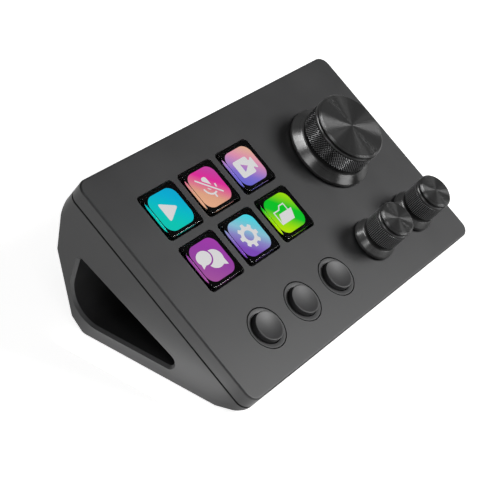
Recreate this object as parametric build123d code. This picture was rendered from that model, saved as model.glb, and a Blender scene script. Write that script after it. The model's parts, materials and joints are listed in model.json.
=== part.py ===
from build123d import *
import math
import os

# A macro keypad: six picture keys, three round buttons and three push-to-click
# rotary knobs on a sloping panel, over a wedge stand with a tunnel through it.
#
# Frames. The stand is drawn in the profile frame: y runs back from the front of
# the flat base, z up from the base, x from the middle of the width. What sits on
# the panel is drawn in the panel frame: x along the width, y up the slope from
# the panel's front edge, z out of the panel, with its top face at z = 0.
# The finished part stands on its feet at z = 0, over the middle of its box.

# ---------------------------------------------------------------- driving dimensions, mm

# outline
WIDTH = 130.0
PANEL_LENGTH = 79.5       # front edge to back edge, up the slope
TILT = 31.2               # slope of the panel, degrees
CORNER_R = 3.8            # corners of the panel, seen square on
LEAST_CORNER_R = 0.5      # of the same outline, drawn in by a wall
EDGE_R = 0.6              # softening round the panel's top edge
COVER_DEPTH = 5.0         # side wall of the top cover, down to the seam
SEAM = 0.25               # open line between cover and stand
WALL = 2.0                # both shells

# wedge profile, below the seam
FRONT_REACH = 12.5        # panel's front edge, ahead of the base
FRONT_RISE = 7.7          # panel's front edge, above the base
FRONT_WALL = 6.1          # front wall, from the panel down to the under-cut
BACK_WALL = 8.9           # back wall, from the panel down to the bend
BULGE_BACK = 0.8          # rearmost bend, behind the foot of the back wall
BULGE_RISE = 24.5
HEEL_IN = 7.1             # low bend at the back, ahead of the rearmost one
HEEL_RISE = 4.0
HEEL_OUT = 4.7            # low bend, behind the end of the flat base
HEEL_R = 3.0
BEND_R = 1.5
SIDE_EDGE_R = 0.5         # softening where the profile meets the sides

# tunnel through the stand, from side to side
TUNNEL_FLOOR = 4.75       # above the base
TUNNEL_TIP = 10.0         # sharp front corner, behind the front of the base
TUNNEL_LEAN = 5.6         # roof, flatter than the panel by this many degrees
TUNNEL_HEEL = 7.3         # sharp rear corner, behind the base
TUNNEL_BACK = 4.0         # how far the back wall leans forward at the top
TUNNEL_TIP_R = 1.7
TUNNEL_TOP_R = 0.8
TUNNEL_HEEL_R = 10.4
MOUTH_CHAMFER = 0.9
BASE_THICKNESS = 3.2      # least plastic under the electronics bay

# rabbet between the shells, and the hooks at the back
LIP_THICKNESS = 0.8
LIP_HEIGHT = 1.2
LIP_GAP = 0.2
HOOK_WIDTH = 8.0
HOOK_THICKNESS = 1.4
HOOK_BARB = 0.8
HOOK_BARB_HEIGHT = 0.8
HOOK_DEPTH = 8.0          # below the panel's top face
HOOK_X = 43.0             # either side of the middle

# picture keys
KEY_COLUMNS = 3
KEY_ROWS = 2
KEY_PITCH = 19.0
COLUMN_LEFT = 22.9        # first column of keys and buttons, from the panel's left edge
KEY_FRONT = 40.0          # front row, from the panel's front edge
KEY_CAP = 15.0            # square
KEY_CAP_R = 0.9
KEY_CAP_EDGE = 0.2
KEY_RISE = 1.0            # cap's top, above the panel
KEY_LENS = 1.1            # clear block over the picture
KEY_SKIRT = 0.65          # wall of the cap's skirt
KEY_WELL_GAP = 0.75       # black gap round the cap
KEY_WELL_R = 1.5
KEY_FLANGE_LAP = 0.4      # flange under the panel, beyond the well
KEY_FLANGE_THICKNESS = 0.7
KEY_GUIDE_GAP = 0.2
KEY_GUIDE_WALL = 1.2
FLANGE_DROP = 0.15        # flanges of keys and buttons, below what stops them
KEY_TRAVEL = 0.7
DISPLAY_THICKNESS = 1.4
FIT = 0.1                 # clearance of what is dropped into a pocket

# round buttons
BUTTON_COUNT = 3
BUTTON_FRONT = 14.75
BUTTON_R = 4.7
BUTTON_RISE = 1.6
BUTTON_DISH = 0.55        # depth of the dished top
BUTTON_RIM = 0.45         # rounding of the rim
BUTTON_TRAVEL = 0.5
BUTTON_SKIRT = 1.2        # wall of the hollow button
BUTTON_FLANGE_THICKNESS = 0.6
BUTTON_CLEARANCE = 0.15   # over its switch, when pressed
BUTTON_GAP = 1.25         # black gap between button and ring
RING_WIDTH = 0.67
RING_GROOVE = 0.26        # fine dark line round the ring
RING_FLANGE_LAP = 0.8
RING_FLANGE_THICKNESS = 0.8

# knobs
KNOB_INSET = 31.8         # big knob, from the panel's right edge
BIG_KNOB_Y = 50.05        # from its front edge
SMALL_KNOB_PITCH = 25.0   # the small pair stands either side of the big knob
SMALL_KNOB_Y = 17.0
KNOB_GAP = 0.65           # under the knobs' feet
KNOB_TRAVEL = 0.5
KNOB_RISE = 14.0          # top of all three knobs
KNOB_EDGE = 1.0           # straight side of the bevelled foot
KNOB_BEVEL = 2.1          # height of the bevel
NECK_HEIGHT = 1.4
NECK_DEPTH = 0.6
RIM_CHAMFER = 0.25
DISC_CHAMFER = 0.55
DISC_EDGE = 0.35
DISC_INSET = 0.12         # inside the grip
DISC_GROOVE = 0.8
DISC_GROOVE_DEPTH = 0.6
DISC_PLUG = 1.4
DISC_PLUG_WALL = 0.7      # of the grip, outside the plug and under the groove
BIG_FOOT_R = 15.15
BIG_GRIP_R = 12.55
SMALL_FOOT_R = 7.45
SMALL_GRIP_R = 6.3
HUB_WALL = 1.6            # round the knob's bore
GRIP_WALL = 1.3           # of a cored knob, inside its neck
KNOB_CROWN = 2.5          # of a cored knob, under the disc
KNOB_WEB = 0.9            # between the shaft's bore and the disc
BORE_SPARE = 0.5          # past the end of the shaft

# encoders under the knobs
ENCODER_WIDTH = 12.0
ENCODER_LENGTH = 13.0
ENCODER_HEIGHT = 4.6
ENCODER_CORNER = 0.8
ENCODER_CAVITY_R = 4.6
ENCODER_WALL = 0.8        # top and bottom of its housing
BUSHING_R = 3.5
BUSHING_RISE = 0.9        # above the panel
BUSHING_GAP = 0.4         # in the panel's hole
SHAFT_R = 3.0
SHAFT_FLAT = 1.5          # depth of the flat on the shaft
RUNNING_FIT = 0.05        # radial, everything that turns or slides
COLLAR_R = 4.0
COLLAR_THICKNESS = 0.9
SLIDER_R = 3.4
SLIDER_THICKNESS = 0.9

# board and switches
BOARD_THICKNESS = 1.6
BOARD_LEFT = 10.0         # clear of the panel's left and right edges
BOARD_FRONT = 7.0
BOARD_BACK = 4.8
BOARD_TOWER_GAP = 1.0     # round the front screws' towers
BOARD_SCREW_R = 0.97
BOARD_SCREW_HEAD_R = 1.9
BOARD_SCREW_HEAD = 1.2
BOARD_SCREW_BITE = 3.4
BOSS_WALL = 1.4
BOSS_INSET = 3.1          # from the board's edges
BOSS_SOCKET_GAP = 2.51    # beside the cable socket
PILOT_FIT = 0.03          # screws' holes in the bosses
PILOT_SPARE = 0.3         # past the end of the screws
SWITCH_WIDTH = 6.0
SWITCH_CORNER = 0.6
SWITCH_HEIGHT = 3.3
SWITCH_BORE_DEPTH = 2.6
PLUNGER_R = 1.7
PLUNGER_INSERT = 1.1      # length of the plunger inside its switch, at rest
PLUNGER_PAD_R = 2.2       # pad under a display, and post in a button
PLUNGER_PAD = 0.6
CHIP_WIDTH = 10.0
CHIP_HEIGHT = 1.4
CHIP_X = 42.0
CHIP_Y = 49.0

# type-C cable socket, under the board at the middle of the back
SOCKET_WIDTH = 8.94
SOCKET_HEIGHT = 3.26
SOCKET_LENGTH = 8.4
SOCKET_SHELL = 0.35
SOCKET_FLOOR = 2.0        # closed end of the shell
SOCKET_SETBACK = 2.2      # mouth, inside the back edge of the panel
SOCKET_SLOT_GAP = 0.35
TONGUE_WIDTH = 6.7
TONGUE_HEIGHT = 0.7
TONGUE_SETBACK = 1.0      # tongue's tip, behind the mouth

# front screws and the feet that cover them
SCREW_INSET = 9.0         # from the panel's side edges
SCREW_R = 1.3
SCREW_HEAD_R = 2.4
SCREW_HEAD = 1.6
SCREW_SHELF = 4.0         # plastic between the screw's head and the seam
SCREW_BITE = 3.5
SCREW_HEAD_GAP = 0.2
CROSS_SLOT = 0.5          # width of the drive cross
TOWER_R = 3.4
FOOT_LENGTH = 16.0
FOOT_WIDTH = 8.0
FOOT_PROUD = 0.8
FOOT_RECESS = 0.8
FOOT_INSET = 1.4          # from the ends of the flat base
FOOT_CHAMFER = 0.25

# ---------------------------------------------------------------- values worked out from them

SLOPE = math.radians(TILT)


def below_panel(along, depth):
    """A point of the profile frame, from a distance up the slope and a depth under the panel."""
    return (
        -FRONT_REACH + along * math.cos(SLOPE) + depth * math.sin(SLOPE),
        FRONT_RISE + along * math.sin(SLOPE) - depth * math.cos(SLOPE),
    )


BACK_WALL_FOOT = below_panel(PANEL_LENGTH, BACK_WALL)
REARMOST = BACK_WALL_FOOT[0] + BULGE_BACK
HEEL = REARMOST - HEEL_IN
BASE_LENGTH = HEEL - HEEL_OUT
FRONTMOST = -FRONT_REACH + EDGE_R * (math.cos(SLOPE) + math.sin(SLOPE) - 1)
SEAM_DEPTH = COVER_DEPTH + SEAM
PANEL = Location((0, -FRONT_REACH, FRONT_RISE), (TILT, 0, 0))
ROW = Location((0, -(FRONTMOST + REARMOST) / 2, FOOT_PROUD))
BEYOND = 2 * PANEL_LENGTH # longer than anything that a cut has to pass through
OVERCUT = 1.0             # how far a cut runs past an open face

KEY_WELL = KEY_CAP + 2 * KEY_WELL_GAP
KEY_FLANGE = KEY_WELL + 2 * KEY_FLANGE_LAP
KEY_GUIDE = KEY_FLANGE + 2 * KEY_GUIDE_GAP
KEY_FLANGE_TOP = -WALL - FLANGE_DROP
KEY_SKIRT_END = KEY_FLANGE_TOP - KEY_FLANGE_THICKNESS
DISPLAY_TOP = KEY_RISE - KEY_LENS
DISPLAY_BACK = DISPLAY_TOP - DISPLAY_THICKNESS

RING_INNER_R = BUTTON_R + BUTTON_GAP
RING_OUTER_R = RING_INNER_R + RING_WIDTH
RING_FLANGE_END = -WALL - RING_FLANGE_THICKNESS
BUTTON_FLANGE_TOP = RING_FLANGE_END - FLANGE_DROP
BUTTON_END = BUTTON_FLANGE_TOP - BUTTON_FLANGE_THICKNESS

SWITCH_TOP = BUTTON_END - BUTTON_TRAVEL - BUTTON_CLEARANCE
PLUNGER_END = SWITCH_TOP - PLUNGER_INSERT
BOARD_TOP = SWITCH_TOP - SWITCH_HEIGHT
BOARD_UNDER = BOARD_TOP - BOARD_THICKNESS

ENCODER_TOP = BOARD_TOP + ENCODER_HEIGHT
COLLAR_TOP = ENCODER_TOP - ENCODER_WALL - RUNNING_FIT
SHAFT_END = COLLAR_TOP - COLLAR_THICKNESS
SLIDER_TOP = SHAFT_END - RUNNING_FIT
BUSHING_MOUTH_R = BUSHING_R + 2 * BUSHING_GAP
BUSHING_MOUTH_END = BUSHING_RISE + KNOB_TRAVEL + 2 * BUSHING_GAP
BIG_KNOB_X = WIDTH / 2 - KNOB_INSET
RIM_END = KNOB_RISE - DISC_CHAMFER - DISC_EDGE - DISC_GROOVE
DISC_SEAT = RIM_END - DISC_PLUG
BORE_END = DISC_SEAT - KNOB_WEB
SHAFT_RISE = BORE_END - BORE_SPARE

SCREW_X = WIDTH / 2 - SCREW_INSET
SCREW_SEAT = -COVER_DEPTH - SCREW_SHELF
FOOT_FRONT = FOOT_INSET + FOOT_WIDTH / 2
FOOT_BACK = BASE_LENGTH - FOOT_INSET - FOOT_WIDTH / 2


def key_places():
    """Centres of the keys in the panel frame: back row first, left to right."""
    return [
        (COLUMN_LEFT - WIDTH / 2 + column * KEY_PITCH, KEY_FRONT + row * KEY_PITCH)
        for row in reversed(range(KEY_ROWS))
        for column in range(KEY_COLUMNS)
    ]


def button_places():
    """Centres of the buttons, one under each column of keys."""
    return [(COLUMN_LEFT - WIDTH / 2 + i * KEY_PITCH, BUTTON_FRONT) for i in range(BUTTON_COUNT)]


def knob_places():
    """Name, centre, foot radius and grip radius of each knob."""
    aside = SMALL_KNOB_PITCH / 2
    return [
        ("big", (BIG_KNOB_X, BIG_KNOB_Y), BIG_FOOT_R, BIG_GRIP_R),
        ("left", (BIG_KNOB_X - aside, SMALL_KNOB_Y), SMALL_FOOT_R, SMALL_GRIP_R),
        ("right", (BIG_KNOB_X + aside, SMALL_KNOB_Y), SMALL_FOOT_R, SMALL_GRIP_R),
    ]


def board_screw_places():
    """Round the board's edge and between the rows of keys, buttons and knobs."""
    left = BOARD_LEFT + BOSS_INSET - WIDTH / 2
    back = PANEL_LENGTH - BOARD_BACK - BOSS_INSET
    columns = [x for x, _ in button_places()]
    key_row_gap = (KEY_FRONT + BUTTON_FRONT) / 2
    knob_row_gap = (BIG_KNOB_Y + SMALL_KNOB_Y) / 2
    beside_socket = SOCKET_WIDTH / 2 + BOSS_SOCKET_GAP + BOSS_WALL + BOARD_SCREW_R
    return [
        (left, key_row_gap),
        ((columns[-2] + columns[-1]) / 2, key_row_gap),
        (BIG_KNOB_X, knob_row_gap),
        (left, back),
        (beside_socket, back),
        (-left, back),
    ]


def front_screw_places():
    """Where the panel's normals through the middles of the front feet meet it."""
    along = (FOOT_FRONT + FRONT_REACH) * math.cos(SLOPE) - FRONT_RISE * math.sin(SLOPE)
    return [(-SCREW_X, along), (SCREW_X, along)]


def foot_places():
    return [(x, y) for x in (-SCREW_X, SCREW_X) for y in (FOOT_FRONT, FOOT_BACK)]


# ---------------------------------------------------------------- small helpers


def slab(outline, low, high):
    """A flat outline, given thickness from low to high along z."""
    return Pos(0, 0, low) * extrude(outline, high - low)


def rod(place, radius, low, high):
    return Pos(place[0], place[1], 0) * slab(Circle(radius), low, high)


def square(place, side, radius, low, high):
    return Pos(place[0], place[1], 0) * slab(RectangleRounded(side, side, radius), low, high)


def block(place, width, length, low, high):
    return Pos(place[0], place[1], 0) * slab(Rectangle(width, length), low, high)


def turned(points):
    """A solid of revolution about z from (radius, height) points."""
    outline = make_face(Plane.XZ * Polyline(*points, close=True))
    return revolve(outline, Axis.Z)


def turned_at(place, points):
    return Pos(place[0], place[1], 0) * turned(points)


def pill(length, width):
    """A stadium outline, a hair short of full rounds so that its ends keep their flats."""
    return RectangleRounded(length, width, 0.499 * width)


def panel_outline(inset):
    """The panel's rounded outline, drawn in by inset."""
    radius = max(CORNER_R - inset, LEAST_CORNER_R)
    outline = RectangleRounded(WIDTH - 2 * inset, PANEL_LENGTH - 2 * inset, radius)
    return Pos(0, PANEL_LENGTH / 2) * outline


def rounded_profile(points, radii):
    """A face in the profile plane with each corner rounded by its own radius."""
    face = make_face(Polyline(*points, close=True))
    for point, radius in zip(points, radii):
        if radius:
            corner = face.vertices().sort_by_distance((point[0], point[1], 0))[0]
            face = fillet(corner, radius)
    return face


def through_width(face, half_width):
    """The profile face, swept both ways from the middle of the width."""
    return extrude(Plane.YZ * face, half_width, both=True)


# ---------------------------------------------------------------- the two shells


def wedge_profile():
    points = [
        (0, 0),
        (BASE_LENGTH, 0),
        (HEEL, HEEL_RISE),
        (REARMOST, BULGE_RISE),
        BACK_WALL_FOOT,
        below_panel(PANEL_LENGTH, 0),
        below_panel(0, 0),
        below_panel(0, FRONT_WALL),
    ]
    return rounded_profile(points, [BEND_R, HEEL_R, BEND_R, BEND_R, BEND_R, 0, 0, BEND_R])


def tunnel_profile():
    heel = BASE_LENGTH + TUNNEL_HEEL
    top = heel - TUNNEL_BACK
    rise = (top - TUNNEL_TIP) * math.tan(math.radians(TILT - TUNNEL_LEAN))
    points = [
        (TUNNEL_TIP, TUNNEL_FLOOR),
        (heel, TUNNEL_FLOOR),
        (top, TUNNEL_FLOOR + rise),
    ]
    return rounded_profile(points, [TUNNEL_TIP_R, TUNNEL_HEEL_R, TUNNEL_TOP_R])


def bay_profile():
    """The room for the electronics: inside the wedge, above the tunnel's roof."""
    inside = offset(wedge_profile(), -WALL, kind=Kind.INTERSECTION)
    floor = Pos(0, BASE_THICKNESS) * Rectangle(
        2 * BEYOND, BEYOND, align=(Align.CENTER, Align.MIN)
    )
    roof = offset(tunnel_profile(), WALL, kind=Kind.INTERSECTION)
    rooms = (inside & floor) - roof
    return rooms.faces().sort_by(SortBy.AREA)[-1]


def stand():
    outside = through_width(wedge_profile(), WIDTH / 2)
    ends = outside.faces().sort_by(Axis.X)
    outside = fillet(ends[0].edges() + ends[-1].edges(), SIDE_EDGE_R)
    outside &= PANEL * slab(panel_outline(0), -BEYOND, 0)

    under_seam = PANEL * slab(panel_outline(-OVERCUT), -BEYOND, -SEAM_DEPTH)
    bay = through_width(bay_profile(), WIDTH / 2 - WALL)
    bay &= PANEL * slab(panel_outline(WALL), -BEYOND, OVERCUT)
    shell = (outside & under_seam) - bay

    # screw towers grow from the shell up to the cover's bosses
    for place in front_screw_places():
        shell += (PANEL * rod(place, TOWER_R, -BEYOND, -COVER_DEPTH)) & outside

    # lip that rises into the cover's rabbet
    lip_outline = panel_outline(WALL - LIP_THICKNESS) - panel_outline(WALL)
    shell += PANEL * slab(lip_outline, -SEAM_DEPTH, -SEAM_DEPTH + LIP_HEIGHT)

    shell -= tunnel_cutter()
    for place in front_screw_places():
        shell -= PANEL * rod(place, SCREW_R + FIT, -BEYOND, 0)
        shell -= PANEL * rod(place, SCREW_HEAD_R + SCREW_HEAD_GAP, -BEYOND, SCREW_SEAT)
    for x in (-HOOK_X, HOOK_X):
        shell -= PANEL * hook_pocket(x)
    shell -= PANEL * socket_slot()
    for x, y in foot_places():
        shell -= Pos(x, y, 0) * slab(pill(FOOT_LENGTH, FOOT_WIDTH), 0, FOOT_RECESS)
    return shell


def tunnel_cutter():
    """The tunnel, flared by a chamfer at both mouths."""
    straight = tunnel_profile()
    flared = offset(straight, MOUTH_CHAMFER, kind=Kind.ARC)
    cutter = through_width(straight, WIDTH)
    for side in (-1, 1):
        outer = Pos(side * WIDTH / 2, 0, 0) * (Plane.YZ * flared)
        inner = Pos(side * (WIDTH / 2 - MOUTH_CHAMFER), 0, 0) * (Plane.YZ * straight)
        cutter += loft([inner.faces()[0], outer.faces()[0]])
    return cutter


def hook_pocket(x):
    """Blind pocket in the back wall that takes a hook's barb, in the panel frame."""
    wall_face = PANEL_LENGTH - WALL
    depth = HOOK_BARB + LIP_GAP
    place = (x, wall_face + (depth - WALL) / 2)
    low = -HOOK_DEPTH - LIP_GAP
    high = -HOOK_DEPTH + HOOK_BARB_HEIGHT + LIP_GAP
    return block(place, HOOK_WIDTH + 2 * LIP_GAP, depth + WALL, low, high)


def top_cover():
    shell = slab(panel_outline(0), -COVER_DEPTH, 0)
    shell = fillet(shell.faces().sort_by(Axis.Z)[-1].edges(), EDGE_R)
    shell -= slab(panel_outline(WALL), -COVER_DEPTH, -WALL)
    rabbet = WALL - LIP_THICKNESS - LIP_GAP
    shell -= slab(panel_outline(rabbet), -COVER_DEPTH, -COVER_DEPTH + LIP_HEIGHT + LIP_GAP - SEAM)

    # bosses for the board and for the front screws
    for place in board_screw_places():
        shell += rod(place, BOARD_SCREW_R + BOSS_WALL, BOARD_TOP, -WALL)
    for place in front_screw_places():
        shell += rod(place, TOWER_R, -COVER_DEPTH, -WALL)

    # walls that guide the keys' flanges
    guide_end = KEY_SKIRT_END - KEY_TRAVEL
    guide_width = (KEY_COLUMNS - 1) * KEY_PITCH + KEY_GUIDE + 2 * KEY_GUIDE_WALL
    guide_length = (KEY_ROWS - 1) * KEY_PITCH + KEY_GUIDE + 2 * KEY_GUIDE_WALL
    first, last = key_places()[0], key_places()[-1]
    middle = ((first[0] + last[0]) / 2, (first[1] + last[1]) / 2)
    shell += block(middle, guide_width, guide_length, guide_end, -WALL)
    for place in key_places():
        shell -= square(place, KEY_GUIDE, KEY_WELL_R, guide_end, -WALL)
        shell -= square(place, KEY_WELL, KEY_WELL_R, -WALL, 0)

    for place in button_places():
        shell -= rod(place, RING_OUTER_R + RING_GROOVE, -WALL, 0)
    for _, place, _, _ in knob_places():
        shell -= rod(place, BUSHING_R + BUSHING_GAP, -WALL, 0)
    for place in board_screw_places():
        bite = BOARD_SCREW_BITE + PILOT_SPARE
        shell -= rod(place, BOARD_SCREW_R + PILOT_FIT, BOARD_TOP, BOARD_TOP + bite)
    for place in front_screw_places():
        bite = SCREW_BITE + PILOT_SPARE
        shell -= rod(place, SCREW_R + PILOT_FIT, -COVER_DEPTH, -COVER_DEPTH + bite)
    for x in (-HOOK_X, HOOK_X):
        shell += hook(x)
    return shell


def hook(x):
    """A springy tab behind the back wall, with a barb that catches the stand."""
    face = PANEL_LENGTH - WALL - LIP_GAP
    tab = block((x, face - HOOK_THICKNESS / 2), HOOK_WIDTH, HOOK_THICKNESS, -HOOK_DEPTH, -WALL)
    barb_outline = Polyline(
        (face, -HOOK_DEPTH),
        (face + HOOK_BARB, -HOOK_DEPTH + HOOK_BARB_HEIGHT),
        (face, -HOOK_DEPTH + HOOK_BARB_HEIGHT),
        close=True,
    )
    barb = Pos(x, 0, 0) * extrude(Plane.YZ * make_face(barb_outline), HOOK_WIDTH / 2, both=True)
    return tab + barb


# ---------------------------------------------------------------- keys


def key_cap(place):
    """Clear block with a skirt round the display and a flange under the panel."""
    body = square(place, KEY_CAP, KEY_CAP_R, KEY_SKIRT_END, KEY_RISE)
    body = fillet(body.faces().sort_by(Axis.Z)[-1].edges(), KEY_CAP_EDGE)
    body += square(place, KEY_FLANGE, KEY_WELL_R, KEY_SKIRT_END, KEY_FLANGE_TOP)
    return body - square(place, KEY_CAP - 2 * KEY_SKIRT, KEY_CAP_R, KEY_SKIRT_END, DISPLAY_TOP)


def key_display(place):
    side = KEY_CAP - 2 * KEY_SKIRT - 2 * FIT
    return square(place, side, KEY_CAP_R - FIT, DISPLAY_BACK, DISPLAY_TOP)


def plunger(place, top):
    """The moving pin of a tact switch, up to what presses it."""
    return rod(place, PLUNGER_R, PLUNGER_END, top)


def key_plunger(place):
    """A switch's pin with a wide pad, which bears on the back of the display."""
    pad = rod(place, PLUNGER_PAD_R, DISPLAY_BACK - PLUNGER_PAD, DISPLAY_BACK)
    return plunger(place, DISPLAY_BACK) + pad


def switch_body(place):
    box = block(place, SWITCH_WIDTH, SWITCH_WIDTH, BOARD_TOP, SWITCH_TOP)
    box = chamfer(box.edges().filter_by(Axis.Z), SWITCH_CORNER)
    return box - rod(place, PLUNGER_R + RUNNING_FIT, SWITCH_TOP - SWITCH_BORE_DEPTH, SWITCH_TOP)


# ---------------------------------------------------------------- buttons


def button_ring(place):
    flange_r = RING_OUTER_R + RING_GROOVE + RING_FLANGE_LAP
    return turned_at(
        place,
        [
            (RING_INNER_R, RING_FLANGE_END),
            (flange_r, RING_FLANGE_END),
            (flange_r, -WALL),
            (RING_OUTER_R, -WALL),
            (RING_OUTER_R, 0),
            (RING_INNER_R, 0),
        ],
    )


def button_cap(place):
    """Hollow cap with a dished top, a rounded rim and a flange under its ring."""
    flange_r = RING_INNER_R + KEY_FLANGE_LAP
    body = turned(
        [
            (0, BUTTON_END),
            (flange_r, BUTTON_END),
            (flange_r, BUTTON_FLANGE_TOP),
            (BUTTON_R, BUTTON_FLANGE_TOP),
            (BUTTON_R, BUTTON_RISE),
            (0, BUTTON_RISE),
        ]
    )
    rim = body.edges().filter_by(GeomType.CIRCLE).sort_by(Axis.Z)[-1]
    body = fillet(rim, BUTTON_RIM)
    dish_r = BUTTON_R - BUTTON_RIM
    ball_r = (dish_r**2 + BUTTON_DISH**2) / (2 * BUTTON_DISH)
    body -= Pos(0, 0, BUTTON_RISE - BUTTON_DISH + ball_r) * Sphere(ball_r)
    hollow_ring = Circle(BUTTON_R - BUTTON_SKIRT) - Circle(PLUNGER_PAD_R)
    hollow = slab(hollow_ring, BUTTON_END, -BUTTON_SKIRT)
    return Pos(place[0], place[1], 0) * (body - hollow)


# ---------------------------------------------------------------- knobs


def knob_body(place, foot_r, grip_r):
    """Bevelled foot, neck, grip and rim, bored for a shaft with a flat."""
    edge_end = KNOB_GAP + KNOB_EDGE
    bevel_end = edge_end + KNOB_BEVEL
    grip_start = bevel_end + NECK_HEIGHT
    neck_r = grip_r - NECK_DEPTH
    plug_r = disc_plug_r(grip_r)
    body = turned(
        [
            (0, KNOB_GAP),
            (foot_r, KNOB_GAP),
            (foot_r, edge_end),
            (grip_r, bevel_end),
            (neck_r, bevel_end),
            (neck_r, grip_start),
            (grip_r, grip_start),
            (grip_r, RIM_END - RIM_CHAMFER),
            (grip_r - RIM_CHAMFER, RIM_END),
            (plug_r, RIM_END),
            (plug_r, DISC_SEAT),
            (0, DISC_SEAT),
        ]
    )
    body -= slab(Circle(BUSHING_MOUTH_R), KNOB_GAP, BUSHING_MOUTH_END)
    body -= slab(shaft_section(SHAFT_R + RUNNING_FIT), BUSHING_MOUTH_END, BORE_END)
    hub_r = BUSHING_MOUTH_R + HUB_WALL
    core_r = neck_r - GRIP_WALL
    if core_r > hub_r + GRIP_WALL:
        # a wide knob is cored out between its hub and its wall
        body -= slab(Circle(core_r) - Circle(hub_r), KNOB_GAP, DISC_SEAT - KNOB_CROWN)
    return Pos(place[0], place[1], 0) * body


def disc_plug_r(grip_r):
    return grip_r - DISC_GROOVE_DEPTH - DISC_PLUG_WALL


def knob_disc(place, grip_r):
    """Turned disc on the knob's top, parted from the grip by a groove."""
    disc_r = grip_r - DISC_INSET
    groove_r = disc_r - DISC_GROOVE_DEPTH
    plug_r = disc_plug_r(grip_r) - RUNNING_FIT
    return turned_at(
        place,
        [
            (0, DISC_SEAT),
            (plug_r, DISC_SEAT),
            (plug_r, RIM_END),
            (groove_r, RIM_END),
            (groove_r, RIM_END + DISC_GROOVE),
            (disc_r, RIM_END + DISC_GROOVE),
            (disc_r, KNOB_RISE - DISC_CHAMFER),
            (disc_r - DISC_CHAMFER, KNOB_RISE),
            (0, KNOB_RISE),
        ],
    )


def shaft_section(radius):
    """Round section with a flat at the back, the same depth in on shaft and bore."""
    cut = Pos(0, radius - SHAFT_FLAT) * Rectangle(
        2 * radius, 2 * SHAFT_FLAT, align=(Align.CENTER, Align.MIN)
    )
    return Circle(radius) - cut


def encoder_body(place):
    cavity_end = ENCODER_TOP - ENCODER_WALL
    box = block((0, 0), ENCODER_WIDTH, ENCODER_LENGTH, BOARD_TOP, ENCODER_TOP)
    box = chamfer(box.edges().filter_by(Axis.Z), ENCODER_CORNER)
    box += slab(Circle(BUSHING_R), ENCODER_TOP, BUSHING_RISE)
    box -= slab(Circle(ENCODER_CAVITY_R), BOARD_TOP + ENCODER_WALL, cavity_end)
    box -= slab(Circle(SHAFT_R + RUNNING_FIT), cavity_end, BUSHING_RISE)
    return Pos(place[0], place[1], 0) * box


def encoder_shaft(place):
    shaft = slab(Circle(COLLAR_R), SHAFT_END, COLLAR_TOP)
    shaft += slab(Circle(SHAFT_R), COLLAR_TOP, BUSHING_RISE)
    shaft += slab(shaft_section(SHAFT_R), BUSHING_RISE, SHAFT_RISE)
    return Pos(place[0], place[1], 0) * shaft


def encoder_slider(place):
    return rod(place, SLIDER_R, SLIDER_TOP - SLIDER_THICKNESS, SLIDER_TOP)


# ---------------------------------------------------------------- board, socket, screws, feet


def main_board():
    width = WIDTH - 2 * BOARD_LEFT
    length = PANEL_LENGTH - BOARD_FRONT - BOARD_BACK
    board = block((0, BOARD_FRONT + length / 2), width, length, BOARD_UNDER, BOARD_TOP)
    for place in front_screw_places():
        board -= rod(place, TOWER_R + BOARD_TOWER_GAP, BOARD_UNDER, BOARD_TOP)
    for place in board_screw_places():
        board -= rod(place, BOARD_SCREW_R + FIT, BOARD_UNDER, BOARD_TOP)
    return board


def control_chip():
    place = (CHIP_X - WIDTH / 2, CHIP_Y)
    return block(place, CHIP_WIDTH, CHIP_WIDTH, BOARD_UNDER - CHIP_HEIGHT, BOARD_UNDER)


def socket_tube(gap, length):
    """The socket's stadium section, grown by gap and run forward from its mouth."""
    section = Plane.XZ * pill(SOCKET_WIDTH + 2 * gap, SOCKET_HEIGHT + 2 * gap)
    return extrude(section, length, dir=(0, -1, 0))


def at_socket(solid):
    """From the middle of the socket's mouth to its place in the panel frame."""
    middle = BOARD_UNDER - SOCKET_HEIGHT / 2
    return Pos(0, PANEL_LENGTH - SOCKET_SETBACK, middle) * solid


def cable_socket():
    shell = socket_tube(0, SOCKET_LENGTH)
    shell -= socket_tube(-SOCKET_SHELL, SOCKET_LENGTH - SOCKET_FLOOR)
    tongue_length = SOCKET_LENGTH - SOCKET_FLOOR - TONGUE_SETBACK
    tongue = Box(TONGUE_WIDTH, tongue_length, TONGUE_HEIGHT)
    shell += Pos(0, -TONGUE_SETBACK - tongue_length / 2, 0) * tongue
    return at_socket(shell)


def socket_slot():
    outside = SOCKET_SETBACK + OVERCUT
    slot = Pos(0, outside, 0) * socket_tube(SOCKET_SLOT_GAP, outside + SOCKET_LENGTH)
    return at_socket(slot)


def screw(place, seat, tip, radius, head_r, head):
    """A pan head screw that points up into its boss, with its head under the seat."""
    body = rod(place, head_r, seat - head, seat)
    body = fillet(body.faces().sort_by(Axis.Z)[0].edges(), head / 3)
    body += rod(place, radius, seat, tip)
    cross = block(place, head_r, CROSS_SLOT, seat - head, seat - head / 2)
    cross += block(place, CROSS_SLOT, head_r, seat - head, seat - head / 2)
    return body - cross


def board_screws():
    tip = BOARD_TOP + BOARD_SCREW_BITE
    return [
        screw(place, BOARD_UNDER, tip, BOARD_SCREW_R, BOARD_SCREW_HEAD_R, BOARD_SCREW_HEAD)
        for place in board_screw_places()
    ]


def housing_screws():
    tip = -COVER_DEPTH + SCREW_BITE
    return [
        screw(place, SCREW_SEAT, tip, SCREW_R, SCREW_HEAD_R, SCREW_HEAD)
        for place in front_screw_places()
    ]


def rubber_foot(place):
    outline = pill(FOOT_LENGTH - 2 * FIT, FOOT_WIDTH - 2 * FIT)
    pad = slab(outline, -FOOT_PROUD, FOOT_RECESS)
    pad = chamfer(pad.faces().sort_by(Axis.Z)[0].edges(), FOOT_CHAMFER)
    return Pos(place[0], place[1], 0) * pad


# ---------------------------------------------------------------- the whole part


def on_panel(solid):
    return ROW * PANEL * solid


def together(solids):
    return Compound(children=list(solids))


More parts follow.
